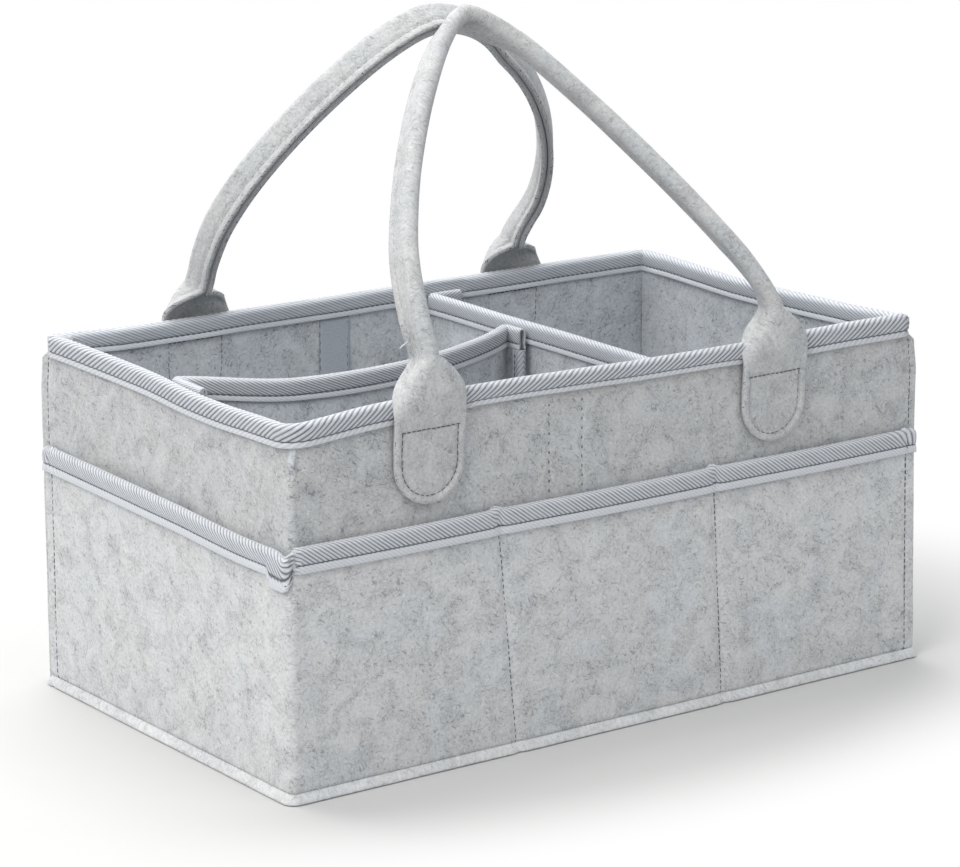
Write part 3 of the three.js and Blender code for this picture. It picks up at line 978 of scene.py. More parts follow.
def makeWall(name, path, node):
    front = "front" in node
    spots = [path.where(x=x) for x in loopLines["front"]] if front else []
    ends = [shellForm["topstitch"], path.total - shellForm["topstitch"]]
    bends = [] if front else [wallForm["flangeBend"], path.total - wallForm["flangeBend"]]
    fold = path.fold(-1 if front else 1)
    s = fineLine(0, path.total, shellForm["wallStep"], spots + ends + bends + [fold])
    fineZ = [shellForm["baseStitch"], wallTop - wallForm["fineBelowTop"]]
    z = fineLine(0, wallTop, shellForm["wallStep"], fineZ)
    sGrid, zGrid = grid(s, z)
    d = wallForm["wave"] * ripple(sGrid * wallForm["waveScale"], zGrid * wallForm["waveScale"], 7)
    if front:
        for lines, key in ((spots, "loopGroove"), (ends, "endGroove")):
            deep, reach = wallForm[key]
            for spot in lines:
                d = d - deep * hump(sGrid, spot, reach)
    drawn, crease = wallForm["frontFold" if front else "backFold"]
    d = d - drawn * hump(sGrid, fold, wallForm["foldReach"]) * ease(zGrid, *wallForm["foldFrom"])
    d = d + crease * hump(sGrid, fold, wallForm["creaseReach"]) * (1 - ease(zGrid, *wallForm["creaseEnd"]))
    points, normals = path.at(sGrid)
    d = d + rimFollow(points, normals, zGrid)
    lowered = zGrid + np.clip(rimLift(points, normals), None, 0) * ease(zGrid, wallForm["lowerFrom"], wallTop)
    mid = onBox(path, pullEnds(path, sGrid, zGrid), d, lowered)
    sheet = Sheet(name, mid, (halfFelt, halfFelt), uvGrid(s, z, node), cutEdge=True, paintedInside=True)
    return dress(sheet.obj, "shell", "wall_felt", (wallFelt, cutFelt, paintedInnerFelt), node)


frontLeftWall = makeWall("front_left_felt_wall", frontLeftPath, "front_left_wall")
backRightWall = makeWall("back_right_felt_wall", backRightPath, "back_right_wall")
print("walls made")


# Base: a plate with a turned-up edge behind the walls
baseForm = {
    "upturn": (0.2, 8.0),
    "rows": 6,
    "corner": 2.0,
    "step": 4.0,
    "clear": 0.2,
    "lift": 0.1,
    "wave": 0.25,
    "waveFrom": 25.0,
}


def makeBase():
    inset = feltThick + shellForm["layerGap"]
    edgeX = halfLength - inset - halfFelt
    edgeY = halfWidth - inset - halfFelt
    corners = [(edgeX, 0), (edgeX, edgeY), (-edgeX, edgeY), (-edgeX, -edgeY), (edgeX, -edgeY), (edgeX, 0)]
    path = PlanPath(corners, [baseForm["corner"]] * 4, closed=True)
    s = np.arange(0, path.total, baseForm["step"])
    z = np.linspace(*baseForm["upturn"], baseForm["rows"])
    points = path.at(s)[0]
    ring = np.stack([np.column_stack([points, np.full(len(s), level)]) for level in z], 1)
    upturn = Sheet(
        "base_felt_upturn",
        ring,
        (halfFelt, halfFelt),
        uvGrid(s, z, "base_upturn"),
        closed=True,
        cutEdge=True,
    )
    dress(upturn.obj, "shell", "wall_felt", (wallFelt, cutFelt))
    plateX = edgeX - halfFelt - baseForm["clear"]
    plateY = edgeY - halfFelt - baseForm["clear"]
    x = fineLine(-plateX, plateX, baseForm["step"])
    y = fineLine(-plateY, plateY, baseForm["step"])
    xGrid, yGrid = grid(x, y)
    fall = np.minimum(plateX - np.abs(xGrid), plateY - np.abs(yGrid))
    wave = baseForm["wave"] * (1 + ripple(xGrid, yGrid, 5)) * ease(fall, 0, baseForm["waveFrom"])
    level = halfFelt + baseForm["lift"] + wave
    plate = Sheet(
        "base_felt_plate",
        np.stack([xGrid, yGrid, level], -1),
        (halfFelt, halfFelt),
        uvGrid(x, y, "base_plate"),
        cutEdge=True,
    )
    dress(plate.obj, "shell", "wall_felt", (paintedInnerFelt, cutFelt), "base_panel")
    2 * plateX * mm
    2 * plateY * mm


makeBase()
print("base made")


# Twill tape folded over an edge: a bead above the stitching and a lip below it
tapeForm = {
    "thick": 1.0,
    "stitch": 8.0,
    "bead": 0.65,
    "lip": 0.75,
    "pinch": 0.5,
    "crown": 2.6,
    "innerLean": 1.45,
    "rib": {"rim": 0.34, "pocket": 0.26, "divider": 0.0},
    "slant": {"rim": 1.5, "pocket": 1.4, "divider": 2.2},
    "samples": 5,
    "pocketLip": 1.2,
    "gap": 0.3,
    "fullDrop": 11.0,
    "fade": 14.0,
    "lipRows": (1.0, 0.87, 0.65, 0.4, 0.18),
    "beadRows": (1.0, 0.94, 0.86, 0.78, 0.68, 0.58, 0.48, 0.39),
    "crownTurns": (18, 42, 66, 90, 114, 138, 162),
    "overTop": 1.3,
    "lipTurn": (-0.2, 1.8),
    "puffPower": 0.6,
    "pinchReach": 0.55,
    "proud": 0.1,
    "ribPower": 0.8,
    "ribCalm": 0.8,
    "calmReach": 0.6,
    "insideFrom": (-2.5, 0.5),
    "swell": 0.15,
}


def tapeSection(half, drop, outBead=1.0, inBead=1.0, longLip=0.0):
    # offsets from the felt's middle and depths below the fold, from one lower edge over the top to the other
    halfTape = tapeForm["thick"] / 2
    stitch = tapeForm["stitch"] * drop / tapeForm["fullDrop"]
    lips = stitch + np.array(tapeForm["lipRows"]) * (drop + longLip - 0.2 - stitch)
    depths = np.concatenate([lips, np.array(tapeForm["beadRows"]) * stitch])

    def leg(h, bead):
        clear = half + tapeForm["gap"] + halfTape
        puff = tapeForm["bead"] * bead * np.sin(np.pi * np.clip(h / stitch, 0, 1)) ** tapeForm["puffPower"]
        lip = tapeForm["lip"] * bead * ease(h, *(stitch + past for past in tapeForm["lipTurn"]))
        pinch = tapeForm["pinch"] * min(bead, 0.5) * hump(h, stitch, tapeForm["pinchReach"])
        return clear + np.where(h < stitch, puff, lip) - pinch

    crown = tapeForm["crown"]
    turns = np.radians(tapeForm["crownTurns"])
    out, back = leg(crown, outBead), leg(crown, inBead)
    topD = np.where(turns < np.pi / 2, out, back) * np.cos(turns)
    topH = halfTape + (crown - halfTape) * (1 - np.sin(turns))
    d = np.concatenate([leg(depths, outBead), topD, -leg(depths[::-1], inBead)])
    h = np.concatenate([depths, topH, depths[::-1]])
    out, back = (leg(stitch, bead) + halfTape + tapeForm["proud"] for bead in (outBead, inBead))
    return {"d": d, "h": h, "stitch": stitch, "out": out, "back": back}


def makeTape(name, place, total, section, slant, kind, closed=False):
    # place(s, d, h) puts a point of the tape; the grid's columns lean with the ribs
    d, h = section["d"], section["h"]
    q = runLengths(np.column_stack([d, h]))
    fromCrown = np.abs(q - q[len(q) // 2])
    pitch = ribPitch[kind]
    count = round(total / pitch) * tapeForm["samples"]
    s = np.linspace(0, total, count, endpoint=False) if closed else np.linspace(0, total, count + 1)
    phase = np.arange(len(s)) / tapeForm["samples"]
    fade = np.ones(len(s)) if closed else ease(s, 0, tapeForm["fade"]) * ease(total - s, 0, tapeForm["fade"])
    lean = fromCrown * np.where(d < 0, tapeForm["innerLean"], 1) - fromCrown.mean()
    leaning = slant * lean[None] * fade[:, None]
    if kind == "divider":
        leaning = np.zeros_like(leaning)  # its fine ribs lean in the cloth only
    sGrid = s[:, None] - leaning
    sGrid = sGrid if closed else np.clip(sGrid, 0, total)
    dGrid, hGrid = np.broadcast_to(d, sGrid.shape), np.broadcast_to(h, sGrid.shape)
    mid = place(sGrid, dGrid, hGrid)
    rib = np.abs(np.sin(np.pi * phase)) ** tapeForm["ribPower"]
    onLip = ease(h, section["stitch"], section["stitch"] + 0.8)
    fineInside = ease(d, *tapeForm["insideFrom"]) if kind == "rim" else np.ones(len(d))
    onStitch = hump(h, section["stitch"], tapeForm["calmReach"])
    calm = (1 - tapeForm["ribCalm"] * onLip) * (1 - tapeForm["ribCalm"] * onStitch)
    full = (tapeForm["rib"][kind] * calm * fineInside)[None] * rib[:, None]
    uv = uvGrid(phase * pitch, np.sign(d) * h * tapeForm["stitch"] / section["stitch"], "tape")
    if kind == "divider":
        uv[..., 0] += slant * (fromCrown - fromCrown.mean())[None]
    skins = (tapeForm["thick"] / 2 - tapeForm["proud"] + full, tapeForm["thick"] / 2)
    return Sheet(name, mid, skins, uv, closed=closed, swell=tapeForm["swell"])


def sewTape(body, path, place, section, ends, both=True):
    # the row of stitches along a folded tape, on one or both of its faces
    s = np.arange(*ends, 1.0)
    depth = np.full(len(s), section["stitch"])
    sew(body, place(s, np.full(len(s), section["out"]), depth), path.outwards(s))
    if both:
        sew(body, place(s, np.full(len(s), -section["back"]), depth), -path.outwards(s))


def nearTab(path, s):
    # 1 where a handle tab lies over the tape
    points, normals = path.at(s)
    cover = np.zeros(points.shape[:-1])
    start, end = (tabWidth / 2 + past for past in rimPress["pastTab"])
    for (side, _), x in tabSpots.items():
        way = -1 if side == "front" else 1
        near = 1 - ease(np.abs(points[..., 0] - x), start, end)
        cover = np.maximum(cover, near * (normals[..., 1] * way > squareOn))
    return cover


# How far a patch lies aside of its place in the frame, and how far back from what it grips
patchShift = {
    "long_divider_left_hook": (-12.0, 1.5),
    "long_divider_right_hook": (2.0, 0.0),
    "cross_divider_front_hook": (0.0, 0.35),
    "cross_divider_back_hook": (0.0, 0.35),
    "back_loop_strip": (-6.0, 0.0),
}
# How the rim tape is pressed flat under the tabs and past the hooks
rimPress = {
    "tabRoom": 0.8,
    "pastTab": (1.0, 8.0),
    "depth": 1.0,
    "least": 0.5,
    "pastHook": (3.0, 9.0),
    "wave": 0.25,
}


def nearHook(path, s):
    # 1 where a divider's hook patch slides past the inside of the rim tape
    points, normals = path.at(s)
    cover = np.zeros(points.shape[:-1])
    for node, axis in (("cross_divider_front_hook", 0), ("long_divider_left_hook", 1)):
        low, high = nodeBox(node)
        middle = (low[axis] + high[axis]) / 2 + patchShift[node][0]
        start, end = ((high[axis] - low[axis]) / 2 + past for past in rimPress["pastHook"])
        facing = np.abs(normals[..., 1]) > squareOn if axis == 0 else normals[..., 0] < -squareOn
        cover = np.maximum(cover, facing * (1 - ease(np.abs(points[..., axis] - middle), start, end)))
    return cover


def makeRim():
    section = tapeSection(halfFelt, tapeDrop)

    def place(s, d, h):
        flatten = nearTab(rimPath, s) * np.clip(d - halfFelt - rimPress["tabRoom"], 0, None) * (d > 0)
        room = np.minimum(rimPress["depth"], -d - halfFelt - rimPress["least"])
        flatten = flatten - nearHook(rimPath, s) * np.clip(room, 0, None) * (d < 0)
        points, normals = rimPath.at(s)
        wave = rimPress["wave"] * ripple(s, s * 0.7, 2)
        z = rimTop - h * rimTall(points, normals) + wave + rimLift(points, normals)
        return onBox(rimPath, s, d - flatten, z)

    slant = tapeForm["slant"]["rim"]
    sheet = makeTape("rim_twill_tape", place, rimPath.total, section, slant, "rim", closed=True)
    dress(sheet.obj, "shell", "twill_tape", (twills["rim"],), "rim_binding")
    sewTape("shell", rimPath, place, section, (0, rimPath.total))


makeRim()
print("rim tape made")


# Outside pockets: felt bands sewn to the walls at the base, the corners and the pocket seams
pocketForm = {
    "thick": 2.5,
    "stand": 0.8,
    "pinch": 1.1,
    "pinchReach": 2.6,
    "mouth": 1.6,
    "baseFlare": 2.6,
    "footWide": 3.6,
    "footWideRun": 120.0,
    "tiltBack": 1.9,
    "tiltBackFrom": -20.0,
    "tiltFront": 3.0,
    "tiltFrontEnd": (-80.0, -5.0),
    "tiltRise": 70.0,
    "corner": 2.6,
    "step": 2.4,
    "wave": 0.12,
    "endGroove": (0.5, 1.2),
    "baseGroove": (0.9, 1.0),
    "shortFollow": 0.75,
    "tapeOver": 1.4,
    "tapeOverFrom": (-10.5, -8.5),
    "seamLift": (1.4, 2.2),
    "seamLiftFrom": (11.0, 3.0),
    "tapeBead": 0.85,
    "fine": (9.0, 0.9),
    "fineBelowTop": 8.0,
    "seamOver": 0.6,
    "seamPoints": 80,
    "endSink": 0.4,
}
bandMid = bandOuter - pocketForm["thick"] / 2
bandX = halfLength + bandMid
bandY = halfWidth + bandMid
bandProud = bandHigh[0] - halfLength
bandEnd = wallY - behind - halfFelt - shellForm["layerGap"]  # where the other band meets a seam flange
bandPlans = {
    "front_left": [(-bandX, halfWidth + bandProud), (-bandX, -bandY), (halfLength + bandProud, -bandY)],
    "back_right": [(bandX, -bandEnd), (bandX, bandY), (-(bandEnd + wallX - wallY), bandY)],
}
bandPaths = {side: PlanPath(plan, [pocketForm["corner"]]) for side, plan in bandPlans.items()}


def bandPull(path, s, z):
    # the front's right end widens towards its foot
    if path is not bandPaths["front_left"]:
        return s
    wide = pocketForm["footWide"] * (1 - np.clip(z / pocketTop, 0, 1))
    return s + wide * ease(s, path.total - pocketForm["footWideRun"], path.total)


def seamX(seam, z):
    return seam[0] + (seam[1] - seam[0]) * z / pocketTop


def bandShift(path, s, z):
    # how far the band stands off its flat place: drawn to the wall at each seam, easing out at the mouth
    points, normals = path.at(s)
    x, y = points[..., 0], points[..., 1]
    rise = np.clip(z / pocketTop, 0, 1.1)
    onLong = np.abs(normals[..., 1]) > squareOn
    seams = pocketSeams["front" if normals[..., 1].min() < -squareOn else "back"]
    lines = [seamX(seam, z) for seam in seams]
    edges = [np.full(x.shape, -halfLength), *lines, np.full(x.shape, halfLength)]
    stand = np.zeros(x.shape)
    for left, right in zip(edges[:-1], edges[1:]):
        within = np.clip((x - left) / (right - left), 0, 1)
        stand = stand + np.sin(np.pi * within) * ((x > left) & (x <= right))
    pinch = sum(hump(x, line, pocketForm["pinchReach"]) for line in lines)
    longSide = pocketForm["stand"] * stand * rise - pocketForm["pinch"] * pinch
    mouth = pocketForm["mouth"] * rise**2 * crest(y, halfWidth)
    shortSide = mouth + pocketForm["shortFollow"] * shortDraw(points, normals, z)
    flare = pocketForm["baseFlare"] * (1 - ease(z, 0, shellForm["baseStitch"]))
    deep, reach = pocketForm["baseGroove"]
    groove = -deep * hump(z, shellForm["baseStitch"], reach)
    return np.where(onLong, longSide, shortSide) + flare + groove


def onBand(path, s, d, z):
    s, d, z = np.broadcast_arrays(np.asarray(s, float), d, z)
    return onBox(path, bandPull(path, s, z), d + bandShift(path, s, np.minimum(z, pocketTop)), z)


def bandTilt(points, normals):
    # the left pocket's edge falls from the back corner to the front one
    y = points[..., 1]
    back = pocketForm["tiltBack"] * ease(y, pocketForm["tiltBackFrom"], halfWidth)
    front = pocketForm["tiltFront"] * (1 - ease(y, *pocketForm["tiltFrontEnd"]))
    return (back - front) * looking(normals, 0)


cornerTape = {
    "tongue": 15.0,
    "turn": 3.0,
    "droop": 5.5,
    "droopFrom": 4.0,
    "past": 2.0,
    "close": (-0.6, 1.4),
    "dip": 1.6,
    "dipAt": (-4.0, 4.5),
    "gap": 1.6,
    "gapReach": 0.9,
    "gapDepth": 2.0,
    "endLift": 0.9,
    "endLiftFrom": (6.0, 1.0),
    "endPress": 0.7,
}


def tapeCorner(path, s, h):
    # at the front left corner the left tape ends in a hanging tongue, with a gap before the front tape
    if path is not bandPaths["front_left"]:
        return np.zeros(s.shape), np.zeros(s.shape)
    corner = path.where(y=-bandY + pocketForm["corner"]) + cornerTape["past"]
    low = ease(h, cornerTape["droopFrom"], tapeDrop)
    start = corner - cornerTape["tongue"]
    closing = ease(s, *(corner + past for past in cornerTape["close"]))
    tongue = ease(s, start, start + cornerTape["turn"]) * (1 - closing)
    before, reach = cornerTape["dipAt"]
    dip = cornerTape["dip"] * hump(s, corner + before, reach) * (1 - low)
    drop = -cornerTape["droop"] * tongue * low - dip
    gap = hump(s, corner + cornerTape["gap"], cornerTape["gapReach"])
    ends = hump(s, path.total - shellForm["topstitch"], 1.0) + hump(s, shellForm["topstitch"], 1.0)
    inward = -cornerTape["gapDepth"] * gap - cornerTape["endPress"] * ends
    return drop + cornerTape["endLift"] * ends * ease(h, *cornerTape["endLiftFrom"]), inward


def paintHemLight(obj):
    # the felt below the base stitching takes the lighter, less flecked hem felt: painted light on the strip
    # that flares out and up
    faces = obj.data.polygons
    centres = np.zeros(len(faces) * 3, np.float32)
    faces.foreach_get("center", centres)
    slots = np.zeros(len(faces), np.int32)
    faces.foreach_get("material_index", slots)
    slots[(centres[2::3] < shellForm["baseStitch"] * mm) & (slots == 0)] = 2
    faces.foreach_set("material_index", slots)


def makeBand(side):
    path = bandPaths[side]
    front = side == "front_left"
    seams = pocketSeams["front" if front else "back"]
    spots = [path.where(x=x) for seam in seams for x in seam]
    ends = [shellForm["topstitch"], path.total - shellForm["topstitch"]] if front else []
    corner = path.where(y=-bandY if front else bandY)
    s = fineLine(0, path.total, pocketForm["step"], spots + ends + [corner], *pocketForm["fine"])
    fineZ = [shellForm["baseStitch"], pocketTop - pocketForm["fineBelowTop"]]
    z = fineLine(0, pocketTop, pocketForm["step"], fineZ)
    sGrid, zGrid = grid(s, z)
    d = pocketForm["wave"] * ripple(sGrid * 2, zGrid * 2, 9)
    deep, reach = pocketForm["endGroove"]
    for spot in ends:
        d = d - deep * hump(sGrid, spot, reach)
    half = pocketForm["thick"] / 2
    sinking = ease(zGrid, pocketForm["tiltRise"], pocketTop)
    mid = onBand(path, sGrid, d, zGrid + np.clip(bandTilt(*path.at(sGrid)), None, 0) * sinking)
    sheet = Sheet(f"{side}_felt_pockets", mid, (half, half), uvGrid(s, z, side), cutEdge=True)
    paintHemLight(sheet.obj)
    dress(sheet.obj, "shell", "wall_felt", (bounceLitPocketFelt, cutFelt, litHemFelt), f"{side}_pocket_band")

    section = tapeSection(half, tapeDrop, pocketForm["tapeBead"], 0.0, tapeForm["pocketLip"])
    top = pocketTop + tapeForm["overTop"]
    seamLift, seamReach = pocketForm["seamLift"]

    def place(at, dAt, h):
        points, normals = path.at(at)
        onLong = np.abs(normals[..., 1]) > squareOn
        lift = sum(seamLift * hump(points[..., 0], seam[1], seamReach) * onLong for seam in seams)
        drop, inward = tapeCorner(path, at, h)
        drop = drop + bandTilt(points, normals) + lift * ease(h, *pocketForm["seamLiftFrom"])
        return onBand(path, at, dAt + inward * (dAt > 0), top - h + drop)

    tape = makeTape(f"{side}_pocket_tape", place, path.total, section, -tapeForm["slant"]["pocket"], "pocket")
    dress(tape.obj, "shell", "twill_tape", (twills["pocket"],), f"{side}_pocket_binding")
    sewTape("shell", path, place, section, (2.0, path.total - 2), both=False)

    run = np.arange(2.0, path.total - 2, 1.0)
    low = np.full(len(run), shellForm["baseStitch"])
    sew("shell", onBand(path, run, half, low), path.outwards(run), "base")
    up = np.linspace(1.0, pocketTop + pocketForm["seamOver"], pocketForm["seamPoints"])
    overTape = pocketForm["tapeOver"] * ease(up, *(pocketTop + below for below in pocketForm["tapeOverFrom"]))
    for seam in seams:
        at = np.array([path.where(x=x) for x in seamX(seam, up)])
        sew("shell", onBand(path, at, half + overTape, up), path.outwards(at), "pocket")
    onEnd = half - pocketForm["endSink"] + overTape
    for spot in ends:
        at = np.full(len(up), spot)
        sew("shell", onBand(path, at, onEnd, up), path.outwards(at), "corner")


for side in bandPaths:
    makeBand(side)
print("pockets made")


# Lines of topstitching on the walls
def sewWalls():
    path = frontLeftPath
    z = np.linspace(pocketTop + 2, rimTop - tapeDrop - tapeForm["gap"], 60)
    for s in (path.total - shellForm["topstitch"], shellForm["topstitch"]):
        at = pullEnds(path, np.full(len(z), s), z)
        sew("shell", onBox(path, at, halfFelt - wallForm["cornerSink"], z), path.outwards(at), "corner")
    for path, side, way in ((frontLeftPath, "front", -1), (backRightPath, "back", 1)):
        for x in loopLines[side]:
            at = np.full(len(z), path.where(x=x))
            sew("shell", onBox(path, at, halfFelt - wallForm["loopSink"], z), (0, way, 0), "loop")


sewWalls()


# Loop strips and hook patches
patchForm = {"step": (1.6, 2.0), "wave": 0.12, "hookThin": 0.1, "stitchInset": 1.5}


def makePatch(name, node, body, axis, inward):
    # a thin woven patch with rounded edges
    low, high = nodeBox(node)
    aside, back = patchShift.get(node, (0.0, 0.0))
    low[axis] += aside
    high[axis] += aside
    onShell = body == "shell"
    if onShell:
        high[2] = rimTop - tapeDrop - tapeForm["gap"]
    u = fineLine(low[axis], high[axis], patchForm["step"][0])
    z = fineLine(low[2], high[2], patchForm["step"][1])
    uGrid, zGrid = grid(u, z)
    other = 1 - axis
    depth = (low[other] + high[other]) / 2 - inward * back
    half = (high[other] - low[other]) / 2 - (0.0 if onShell else patchForm["hookThin"])

    def onPatch(at, level, out):
        at, level, out = np.broadcast_arrays(at, level, out)
        return np.stack([at, out, level] if axis == 0 else [out, at, level], -1)

    fromSide = np.minimum(uGrid - low[axis], high[axis] - uGrid)
    edge = np.minimum(fromSide, np.minimum(zGrid - low[2], high[2] - zGrid))
    puff = patchForm["wave"] * ripple(uGrid * 3, zGrid * 3, 4) * ease(edge, 0, 2)
    mid = onPatch(uGrid, zGrid, depth)
    if (axis == 0) == (inward > 0):
        mid = mid[::-1]
    sheet = Sheet(name, mid, (half + puff - 0.05, half), uvGrid(u, z, "patch"), swell=0.1)
    line = np.linspace(low[2] + 1, high[2] - 1, 60)
    outwards = np.zeros(3)
    outwards[other] = inward
    for edgeAt in (low[axis] + patchForm["stitchInset"], high[axis] - patchForm["stitchInset"]):
        sew(body, onPatch(edgeAt, line, depth + inward * half), outwards, "patch")
    return dress(sheet.obj, body, "hook_and_loop", (loopPile,), node)


makePatch("front_loop_tape", "front_loop_strip", "shell", 0, 1)
makePatch("back_loop_tape", "back_loop_strip", "shell", 0, -1)
makePatch("cross_front_hook_tape", "cross_divider_front_hook", "cross_divider", 0, -1)
makePatch("cross_back_hook_tape", "cross_divider_back_hook", "cross_divider", 0, 1)
makePatch("long_left_hook_tape", "long_divider_left_hook", "long_divider", 1, -1)
makePatch("long_right_hook_tape", "long_divider_right_hook", "long_divider", 1, 1)
print("patches made")


# Divider insert
dividerForm = {
    "fold": 1.3,
    "leftY": 10.0,
    "rightY": 24.0,
    "leftTab": 28.0,
    "rightTab": 14.5,
    "bow": 32.0,
    "runRadius": 14.0,
    "step": 2.4,
    "yield": 60.0,
    "leftRise": 4.2,
    "crossSink": 2.0,
    "tabPress": 0.3,
    "sway": 0.7,
    "swayFrom": (14.0, 40.0),
    "tapeBead": 0.6,
    "edgeBead": 0.2,
    "edgeSlant": 1.2,
    "edgeSquash": (0.85, 0.75),
    "fine": (6.0, 0.7),
    "runPoints": (0.04, 0.96, 25),
}
longLow, longHigh = nodeBox("long_divider_panel")


def crossPath():
    low, high = nodeBox("cross_divider_panel")
    x, y, tip = low[0] + halfFelt, high[1] - halfFelt, high[0]
    return PlanPath([(tip, -y), (x, -y), (x, y), (tip, y)], [dividerForm["fold"]] * 2), (tip - x, tip - x)


def longPath():
    left = np.array([longLow[0] + halfFelt, dividerForm["leftY"]])
    right = np.array([longHigh[0] - halfFelt, dividerForm["rightY"]])
    pull = (left + right) / 2 - np.array([0, 2 * dividerForm["bow"]])
    run = bowed(left, pull, right, np.linspace(*dividerForm["runPoints"])[:, None])
    tabs = dividerForm["leftTab"], dividerForm["rightTab"]
    corners = [left - np.array([0, tabs[0]]), left, *run, right, right - np.array([0, tabs[1]])]
    radii = [dividerForm["fold"]] + [dividerForm["runRadius"]] * len(run) + [dividerForm["fold"]]
    return PlanPath(corners, radii), tabs


def leftGive(x, y, z):
    # the long divider's left end gives way to the left wall, where that is drawn in, and rides up there
    leftWall = np.stack([np.full(z.shape, -wallX), np.broadcast_to(y, z.shape)], -1)
    pushed = -drawnBy(leftWall, np.broadcast_to(np.array([-1.0, 0.0]), leftWall.shape), z)
    near = 1 - ease(x, longLow[0], longLow[0] + dividerForm["yield"])
    rise = dividerForm["leftRise"] * ease(z, longLow[2], longHigh[2])
    return np.clip(pushed, 0, None) * near, rise * near


def onDivider(path, s, d, z):
    s, d, z = np.broadcast_arrays(np.asarray(s, float), d, z)
    points, normals = path.at(s)
    flat = points + normals * d[..., None]
    inward, upward = leftGive(points[..., 0], points[..., 1], z)
    flat[..., 0] += inward
    return np.concatenate([flat, (z + upward)[..., None]], -1)


def makeDivider(name, shape, seed):
    path, tabs = shape
    low, high = nodeBox(f"{name}_panel")
    bottom = low[2]
    top = high[2] - (dividerForm["crossSink"] if name == "cross_divider" else 0)
    s = fineLine(0, path.total, dividerForm["step"], [tabs[0], path.total - tabs[1]], *dividerForm["fine"])
    z = fineLine(bottom, top, dividerForm["step"])
    sGrid, zGrid = grid(s, z)

    def sway(at, level):
        free = ease(at, *dividerForm["swayFrom"]) * ease(path.total - at, *dividerForm["swayFrom"])
        return dividerForm["sway"] * ripple(at, level, seed) * free

    mid = onDivider(path, sGrid, sway(sGrid, zGrid), zGrid)
    sheet = Sheet(f"{name}_felt", mid, (halfFelt, halfFelt), uvGrid(s, z, name), cutEdge=True)
    dress(sheet.obj, name, "wall_felt", (paintedInnerFelt, cutFelt), f"{name}_panel")
    section = tapeSection(halfFelt, tapeDrop, dividerForm["tapeBead"], dividerForm["tapeBead"])
    fold = top + tapeForm["overTop"]

    def place(at, d, h):
        pastTab = np.minimum(at - tabs[0], path.total - at - tabs[1])
        press = 1 - dividerForm["tabPress"] * (1 - ease(pastTab, -3, 1))
        return onDivider(path, at, d * press + sway(at, fold - h), fold - h)

    slant = tapeForm["slant"]["divider"] * (1 if name == "cross_divider" else -1)
    tape = makeTape(f"{name}_tape", place, path.total, section, slant, "divider")
    dress(tape.obj, name, "twill_tape", (twills["divider"],), f"{name}_binding")
    sewTape(name, path, place, section, (1.5, path.total - 1))


def makeEdgeTape(name, node, end):
    # tape folded over the upright edge of a turned end
    low, high = nodeBox(node)
    x = (low[0] + high[0]) / 2
    tip = dividerForm[f"{end}Y"] - dividerForm[f"{end}Tab"] - 1
    section = tapeSection(halfFelt, high[1] - low[1], dividerForm["edgeBead"], dividerForm["edgeBead"])
    thin, short = dividerForm["edgeSquash"]

    def place(s, d, h):
        z = low[2] + s
        inward, upward = leftGive(x, tip + h, z)
        return np.stack([x + thin * d + inward, tip + short * h, z + upward], -1)

    tape = makeTape(name, place, high[2] - low[2], section, dividerForm["edgeSlant"], "divider")
    dress(tape.obj, "long_divider", "twill_tape", (twills["divider"],), node)
    s = np.arange(2.0, high[2] - low[2] - 1, 1.0)
    for way, face in ((-1, -section["back"]), (1, section["out"])):
        line = place(s, np.full(len(s), face), np.full(len(s), section["stitch"]))
        sew("long_divider", line, (way, 0, 0))


makeDivider("cross_divider", crossPath(), 1)
makeDivider("long_divider", longPath(), 2)
makeEdgeTape("long_left_edge_tape", "long_divider_left_edge_tape", "left")
makeEdgeTape("long_right_edge_tape", "long_divider_right_edge_tape", "right")
print("dividers made")


# Handles: a felt strip that ends in two tongue tabs and folds in half above the rim
handleForm = {
    "gripStrip": 35.0,
    "foldArc": math.pi * 3.0,
    "foldAngle": math.radians(95),
    "neckRun": 22.5,
    "neckClear": 1.2,
    "hoodDrop": 5.8,
    "softFold": 4.5,
    "softReach": (2.0, 14.0),
    "bulge": 2.4,
    "bulgeAt": (14.0, 7.0),
    "meetY": 11.0,
    "meetGap": 0.6,
    "edgeSeam": 3.9,
    "groove": 0.75,
    "step": 2.0,
    "rows": 45,
    "rowPower": 1.15,
    "turning": (15.0, 60.0),
    "twistEnd": 25.0,
    "smooth": 7,
    "settle": 1.0,
    "settleEnd": (-8.0, 6.0),
    "sinkEnd": (20.0, 90.0),
    "openPart": 0.9,
    "leastOpen": 0.02,
    "wave": 0.18,
    "waveScale": (1.6, 2.5),
    "gripFrom": (0.8, 1.0),
    "seamReach": 1.2,
    "seamFrom": 0.97,
    "swell": 0.35,
    "tongueTurns": (88, 82, 75, 68, 61, 54, 47, 40, 33, 27, 21, 15, 10, 5, 0),
}
# each leg leaves its foot upright, then tilts inwards and turns, both in degrees
handleArch = {
    "front": {
        "apexX": -13.0,
        "rise": 209.5,
        "leg": 23.5,
        "bend": 78.0,
        "left": {"pull": 53.0, "tilt": -4.0, "apexPull": 19.5, "twist": -4.0},
        "right": {
            "pull": 50.0,
            "tilt": 21.0,
            "apexPull": 22.0,
            "twist": -29.0,
            "turning": (2.0, 30.0),
            "leg": 20.0,
        },
    },
    "back": {
        "apexX": -16.5,
        "rise": 194.0,
        "leg": 23.0,
        "bend": 72.5,
        "left": {"pull": 54.0, "tilt": -25.0, "apexPull": 28.0, "twist": -1.0},
        "right": {"pull": 67.0, "tilt": -21.0, "apexPull": 55.0, "twist": 24.0, "turning": (0.0, 40.0)},
    },
}
